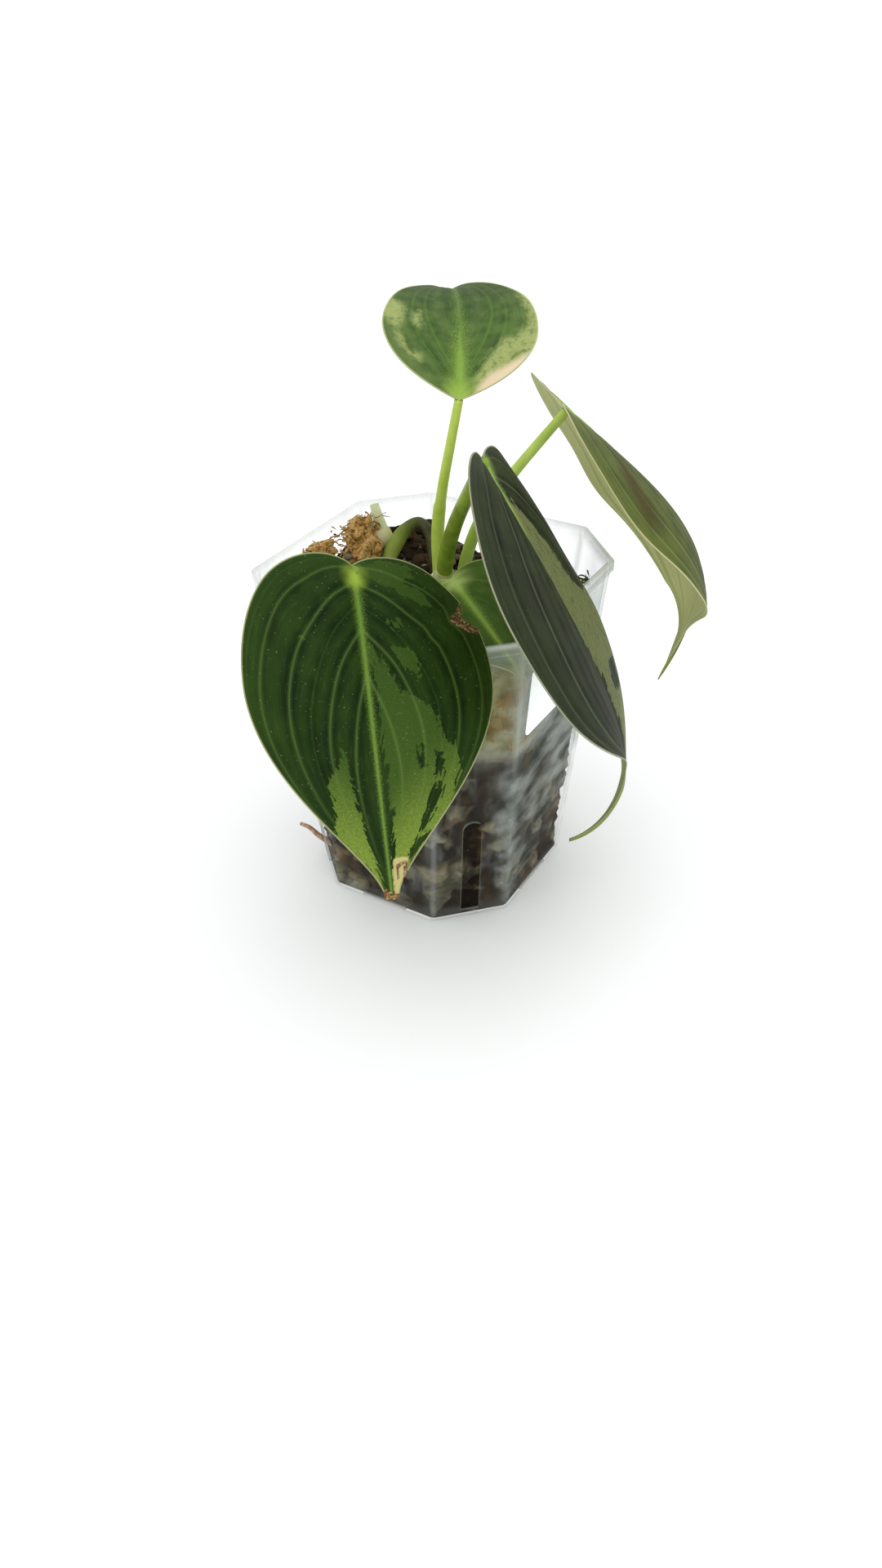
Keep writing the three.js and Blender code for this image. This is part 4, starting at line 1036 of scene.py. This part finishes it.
# Loose crumbs on the mix, heaped up to 9 mm high against the left wall
crumb = {"number": 620, "size": (0.7, 1.9), "flatness": (1.2, 0.9, 0.6), "heap": 9, "spread": 46, "seed": 12}
number = crumb["number"]
rng = np.random.default_rng(crumb["seed"])
spot = rng.uniform(-1, 1, (4 * number, 2)) * crumb["spread"]
spot = spot[(np.abs(spot).max(1) < 43.8) & (np.abs(spot).sum(1) < 70)][:number]
size = rng.uniform(*crumb["size"], (number, 1)) * rng.uniform(0.6, 1.3, (number, 3)) * crumb["flatness"]
heap = crumb["heap"] * smoothStep(-spot[:, 0], 33, 43) * smoothStep(np.abs(spot[:, 1] - 2), 24, 12)
centre = np.column_stack([spot, mixTop(*spot.T) + 0.4 + heap * rng.uniform(0, 1, number)])
points, faces = crumbs(centre, size, rng.uniform(0, 3.1, number), 40)
crumbTone = np.repeat(rng.uniform(0, 1, number) ** 1.3, len(points) // number)
makePiece("mix_crumbs", points, faces, mixStuff, None,
          {"tone": crumbTone, "crack": np.ones(len(points))}, merge=0.0005)
print("crumbs")


def huskPoints(at, size, turnBy, seed):
    # A ball drawn out to its size and turned in degrees, its skin pushed by crossed waves and layered noise
    ball = ballPoints(60, 100)
    waves = np.sin(5 * ball[:, 0] + seed) * np.cos(4 * ball[:, 1] + 2 * seed)
    waves += np.sin(6 * ball[:, 2] + 3 * seed) * np.cos(5 * ball[:, 0] - seed)
    rough = layeredNoise(ball * size, 2.4, seed, 4)
    ball = ball * size * (0.97 + 0.13 * waves - 0.12 * np.abs(rough))[:, None]
    return turnedBy(ball, np.radians(turnBy)) + at


# Husk fibre: dull, coarse and patchy, from dark brown to straw
huskFibre = speckledMaterial("husk fibre", 1.6, ("#5a3412", "#a3712c", "#c4a562", "#7d5220"), 6.0,
                             Roughness=0.85)
husks = {
    "husk_back": {"at": (-38.5, 16, 105), "size": (6.5, 11, 6), "turnBy": 24, "seed": 3},
    "husk_left": {"at": (-41.5, -9.5, 105.5), "size": (4.8, 7, 6), "turnBy": -8, "seed": 8},
    "husk_back_top": {"at": (-41.4, 18.6, 110.2), "size": (4.4, 8.6, 4.8), "turnBy": 18, "seed": 5},
    "husk_left_top": {"at": (-42.4, -4.5, 110.4), "size": (4.2, 9, 4.2), "turnBy": 0, "seed": 6},
}
for name, husk in husks.items():
    makePiece(f"{name}_skin", huskPoints(**husk), gridFaces(60, 100, True, flip=True), huskFibre,
              None if name.endswith("top") else name, merge=0.001)
print("husks")


def fibreSet(centre, spread, number, length, radius, seed):
    # Fibres that start about a centre by a bell curve, aim anywhere but mostly level, and bend once
    rng = np.random.default_rng(seed)
    start = centre + rng.normal(0, 1, (number, 3)) * spread
    aim = rng.normal(0, 1, (number, 3)) * np.array([1, 1, 0.45])
    aim /= np.linalg.norm(aim, axis=1)[:, None]
    reach = aim * rng.uniform(0.4, 1, (number, 1)) * length
    middle = start + reach * 0.5 + rng.normal(0, 0.18, (number, 3)) * length
    return strands(start, middle, start + reach, rng.uniform(0.5, 1.2, number) * radius)


# Loose fibres on the husks, kept inside the pot's wall and under its rim
huskFibres = {
    "husk_back_fibres": {"centre": (-41, 17.5, 110.5), "spread": (2.2, 5, 2), "seed": 21},
    "husk_left_fibres": {"centre": (-42.2, -7, 110.5), "spread": (1.6, 6, 1.8), "seed": 22},
}
for name, fibre in huskFibres.items():
    points, faces = fibreSet(number=220, length=4.5, radius=0.32, **fibre)
    points[:, 0] = np.maximum(points[:, 0], -46.9)
    points[:, 2] = np.minimum(points[:, 2], 114.5)
    makePiece(name, points, faces, huskFibre, merge=0.0005)
print("fibres")

# Stalk sheath: the cream, faintly shining collar at the foot of the right stalk
collar = {"path": [(-4.2, 13, 100), (-3.6, 12.5, 104), (-3.2, 12.2, 106.2), (-2.9, 12, 107)],
          "foot": 4.1, "change": -1.0, "power": 3}
sheath = speckledMaterial("stalk sheath", 3, ("#aab568", "#d2d3a0"), Roughness=0.5, Specular_IOR_Level=0.25)
roundPiece("stalk_collar", sheath, "stalk", None, **collar)

# Moss: small, matt and dark green. Reach is the limit of |x| + |y|, which keeps it inside the cut corner.
moss = speckledMaterial("moss", 2, ("#2c3d14", "#52682a"), Roughness=0.8, Specular_IOR_Level=0.15)
sprigs = {
    "moss_right": {"reach": 75, "fibres": {
        "centre": (38.3, 36, 102.5), "spread": (1.3, 1.6, 0.8), "number": 26, "length": 4.0, "seed": 31}},
    "moss_slot": {"reach": 99, "fibres": {
        "centre": (29.2, -29.2, 37), "spread": (0.7, 0.7, 3), "number": 30, "length": 2.4, "seed": 32}},
}
for name, sprig in sprigs.items():
    points, faces = fibreSet(radius=0.45, **sprig["fibres"])
    over = np.maximum(0, points[:, 0] + np.abs(points[:, 1]) - sprig["reach"])
    points[:, 0] -= over / 2
    points[:, 1] -= over / 2 * np.sign(points[:, 1])
    makePiece(name, points, faces, moss, merge=0.0005)

# Dry thread that curls from the torn tip of the front leaf: where it leaves the blade, its bend, its end
thread = {"at": (0.4, 93.2, 0.2), "bend": (-1.6, -1.2, -0.2), "end": (-0.6, -0.2, 2.6), "radius": 0.22}
tipAt = onBlade(bladeShapes["front"], midribOf(bladeShapes["front"]), *np.array(thread["at"])[:, None])
points, faces = strands(tipAt, tipAt + thread["bend"], tipAt + thread["end"], np.array([thread["radius"]]))
makePiece("leaf_front_thread", points, faces, huskFibre, merge=0.0005)
print("collar, moss and thread")

# Label paper: bright and smooth, left blank, with a little light of its own so that it stays white
paper, _, _ = newMaterial("label paper", Roughness=0.5, Emission_Strength=0.3, Emission_Color="#f5fafb",
                          Base_Color="#f5fafb")
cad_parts["label"].data.materials.clear()
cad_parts["label"].data.materials.append(paper)

# Floor: a wide white sheet, matt, with a little light of its own to lift it to the backdrop's white
sheetHalf = 60
floor = bpy.data.meshes.new("floor")
floor.from_pydata([(-sheetHalf, -sheetHalf, 0), (sheetHalf, -sheetHalf, 0), (sheetHalf, sheetHalf, 0),
                   (-sheetHalf, sheetHalf, 0)], [], [[0, 1, 2, 3]])
whiteFloor, _, _ = newMaterial("pale floor", Roughness=0.7, Emission_Strength=0.1, Emission_Color="#ffffff",
                               Base_Color="#fafcfa")
floor.materials.append(whiteFloor)
floorPiece = bpy.data.objects.new("floor", floor)
bpy.context.scene.collection.objects.link(floorPiece)

# Light, in metres and watts: an even white room, and one wide lamp overhead
lamp = {"at": (0.05, -0.1, 1.3), "aim": (0, 0, 0.1), "size": 1.4, "power": 3.5, "room": "#fcfdff"}
world = bpy.data.worlds.new("studio")
bpy.context.scene.world = world
world.use_nodes = True
world.node_tree.nodes["Background"].inputs[0].default_value = linear(lamp["room"])
world.node_tree.nodes["Background"].inputs[1].default_value = 1.0
light = bpy.data.lights.new("key", "AREA")
light.size = lamp["size"]
light.energy = lamp["power"]
lightPiece = bpy.data.objects.new("key", light)
bpy.context.scene.collection.objects.link(lightPiece)
back = np.array(lamp["at"], float) - np.array(lamp["aim"], float)
back /= np.linalg.norm(back)
across = np.cross((0, 0, 1), back)
across /= np.linalg.norm(across)
matrix = np.eye(4)
matrix[:3] = np.column_stack([across, np.cross(back, across), back, lamp["at"]])
lightPiece.matrix_world = Matrix(matrix.tolist())
print("label, floor and light")

# Camera, worked out from the pot's eight corners at the rim and base: its place in metres, the directions
# of its right, top and back, and its focal length in pixels of a picture 1920 high
view = {"at": (0.197197, -0.320447, 0.299319), "right": (0.85963, 0.51059, -0.01840),
        "up": (-0.28619, 0.51104, 0.81051), "back": (0.42324, -0.69147, 0.58543),
        "focus": 1566.617, "height": 1920, "sensor": 36}
cameraData = bpy.data.cameras.new("camera")
camera = bpy.data.objects.new("camera", cameraData)
bpy.context.scene.collection.objects.link(camera)
bpy.context.scene.camera = camera
cameraData.sensor_width = view["sensor"]
cameraData.lens = view["focus"] / view["height"] * view["sensor"]
matrix = np.eye(4)
matrix[:3] = np.column_stack([view["right"], view["up"], view["back"], view["at"]])
camera.matrix_world = Matrix(matrix.tolist())
bpy.context.scene.view_settings.view_transform = "Standard"
print("camera")
